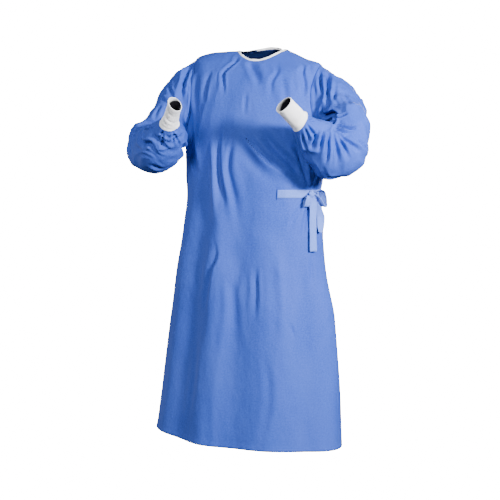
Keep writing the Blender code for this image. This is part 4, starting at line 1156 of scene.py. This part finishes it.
def add_stage():
    """The camera, the lights, a pale floor and a pale backdrop all round."""
    camera = bpy.data.objects.new("camera", bpy.data.cameras.new("camera"))
    camera.data.lens = LENS
    camera.data.sensor_width = 36.0
    aim(camera, Vector(TARGET) + direction(AZIMUTH, ELEVATION) * DISTANCE, TARGET)
    bpy.context.scene.camera = camera
    for row in LIGHTS:
        light = dict(zip(LIGHT_COLUMNS, row))
        lamp = bpy.data.lights.new(light["name"], "AREA")
        lamp.shape = "DISK"
        lamp.size, lamp.energy, lamp.color = light["size"], light["power"], light["colour"]
        obj = bpy.data.objects.new(light["name"], lamp)
        aim(obj, Vector(LIT) + direction(light["azimuth"], light["elevation"]) * light["distance"], LIT)
    world = bpy.data.worlds.new("studio")
    world.use_nodes = True
    background = world.node_tree.nodes["Background"]
    background.inputs["Color"].default_value = (WORLD_GREY, WORLD_GREY, WORLD_GREY, 1.0)
    background.inputs["Strength"].default_value = WORLD_STRENGTH
    bpy.context.scene.world = world
    pale = plain("studio_white", (0.9, 0.9, 0.9), DOME_GLOW)
    for name in ("floor", "backdrop"):
        mesh = bpy.data.meshes.new(name)
        shape = bmesh.new()
        if name == "floor":
            bmesh.ops.create_circle(shape, cap_ends=True, segments=96, radius=DOME_RADIUS)
        else:
            bmesh.ops.create_uvsphere(shape, u_segments=96, v_segments=48, radius=DOME_RADIUS)
        shape.to_mesh(mesh)
        shape.free()
        mesh.materials.append(pale)
        obj = bpy.data.objects.new(name, mesh)
        obj.location = (0.0, 0.0, FLOOR_Z)
        obj.visible_diffuse = obj.visible_glossy = obj.visible_shadow = False
        bpy.context.scene.collection.objects.link(obj)


# ---------------------------------------------------------------- everything together


def main():
    gown = nonwoven("gown_nonwoven", GOWN_BLUE, GOWN_DEEP, GOWN_PALE, 0.03, 1.0)
    # The inner faces of the panels and sleeves get a dark painted-shade copy of the nonwoven, not the cloth's
    # own colour.
    inside = nonwoven("gown_inside_painted_shade", GOWN_INSIDE_PAINTED_SHADE, GOWN_INSIDE_PAINTED_SHADE, GOWN_INSIDE_PAINTED_SHADE, 0.0, 0.5)
    tie = nonwoven("waist_tie", TIE_BLUE, TIE_DEEP, TIE_PALE, 0.1, 0.35)
    knit, tape = rib_knit("cuff_knit"), woven_tape("neck_trim")
    # The cuffs' inner faces get painted shade, not the knit's own colour.
    cuff_shade = cuff_inside_painted_shade("cuff_inside_painted_shade", CUFF_LENGTH)
    body_creases = [Crease(row, body_surface, BODY_SHARPNESS, BODY_GAIN)
                    for row in FRONT_CREASES + BACK_CREASES]
    panels = make_panels(body_creases)
    pieces = {}
    for name, grid in panels.items():
        pieces[name] = add_shell(name + "_cloth", grid, SHELL, gown,
                                 flip=name == "back_right", inside=inside)
    for side, table, rows in (("left", LEFT_SLEEVE, LEFT_CREASES), ("right", RIGHT_SLEEVE, RIGHT_CREASES)):
        flip = side == "right"
        grid = make_sleeve(side, table, rows, panels, body_creases)
        pieces["sleeve_" + side] = add_shell("sleeve_" + side + "_cloth", grid, SHELL, gown,
                                             closed=True, flip=flip, inside=inside)
        cuff, spokes = make_cuff(side, grid[-1])
        pieces["cuff_" + side] = add_shell("cuff_" + side + "_knit", cuff, KNIT, knit,
                                           closed=True, flip=flip, inside=cuff_shade, outward=spokes)
    binding = add_tube("neck_binding_tape", make_binding(panels), tape)
    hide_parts("neck_binding")
    sewn = {"front": [binding], "back_left": [add_fastener(panels["back_left"], tape)]}
    for name, piece in pieces.items():
        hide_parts(name)
    add_ties(body_creases, tie, gown)


FASTENER_ROWS, FASTENER_COLUMNS = (-12, -6), (46, 71)
FASTENER_THICK = 0.0024


def add_fastener(panel, material):
    """The pad of the hook-and-loop fastener, between the two backs at the nape."""
    normals = grid_normals(panel)
    part = (slice(*FASTENER_ROWS), slice(*FASTENER_COLUMNS))
    grid = panel[part] + normals[part] * (FASTENER_THICK + 0.0003)
    piece = add_shell("neck_fastener_pad", grid, FASTENER_THICK, material)
    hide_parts("neck_fastener")
    return piece


KNOT_GAP = 0.4  # degrees of belt left free on each side of the knot's middle
RIBBON_COLUMNS, RIBBON_CROWN, RIBBON_WAVE = 9, 0.0010, 0.0008
# The length of each stretch of the tie, measured along it.
ENDS = (
    ("bow_loop_right", LOOP_RIGHT, 0.085),
    ("bow_loop_left", LOOP_LEFT, 0.123),
    ("tail_front", TAIL_FRONT, 0.158),
    ("tail_side", TAIL_SIDE, 0.112),
)


def add_ties(creases, material, gown):
    """The belt, the knot, the bow and its tails."""
    def strip(node, grid):
        piece = add_shell(node + "_tie", grid, TIE, material)
        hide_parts(node)

    tack = add_tube("belt_end_tack", make_tack(creases), gown)
    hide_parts("belt_front")
    origin, axes = knot_frame()
    knot = add_tube("knot_tie", make_knot(origin, axes), material)
    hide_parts("knot")
    for node, start, end, rests_on, with_piece in (
        ("belt_front", BELT_START, KNOT_ANGLE - KNOT_GAP, ["front"], tack),
        ("belt_side", KNOT_ANGLE + KNOT_GAP, BELT_END, ["front", "back_left", "back_right"], knot),
    ):
        strip(node, belt_grid(start, end, creases))
    for node, table, length in ENDS:
        grid = ribbon_grid(table, origin, axes, RIBBON_COLUMNS, RIBBON_CROWN, RIBBON_WAVE)
        strip(node, grid)


add_stage()
main()
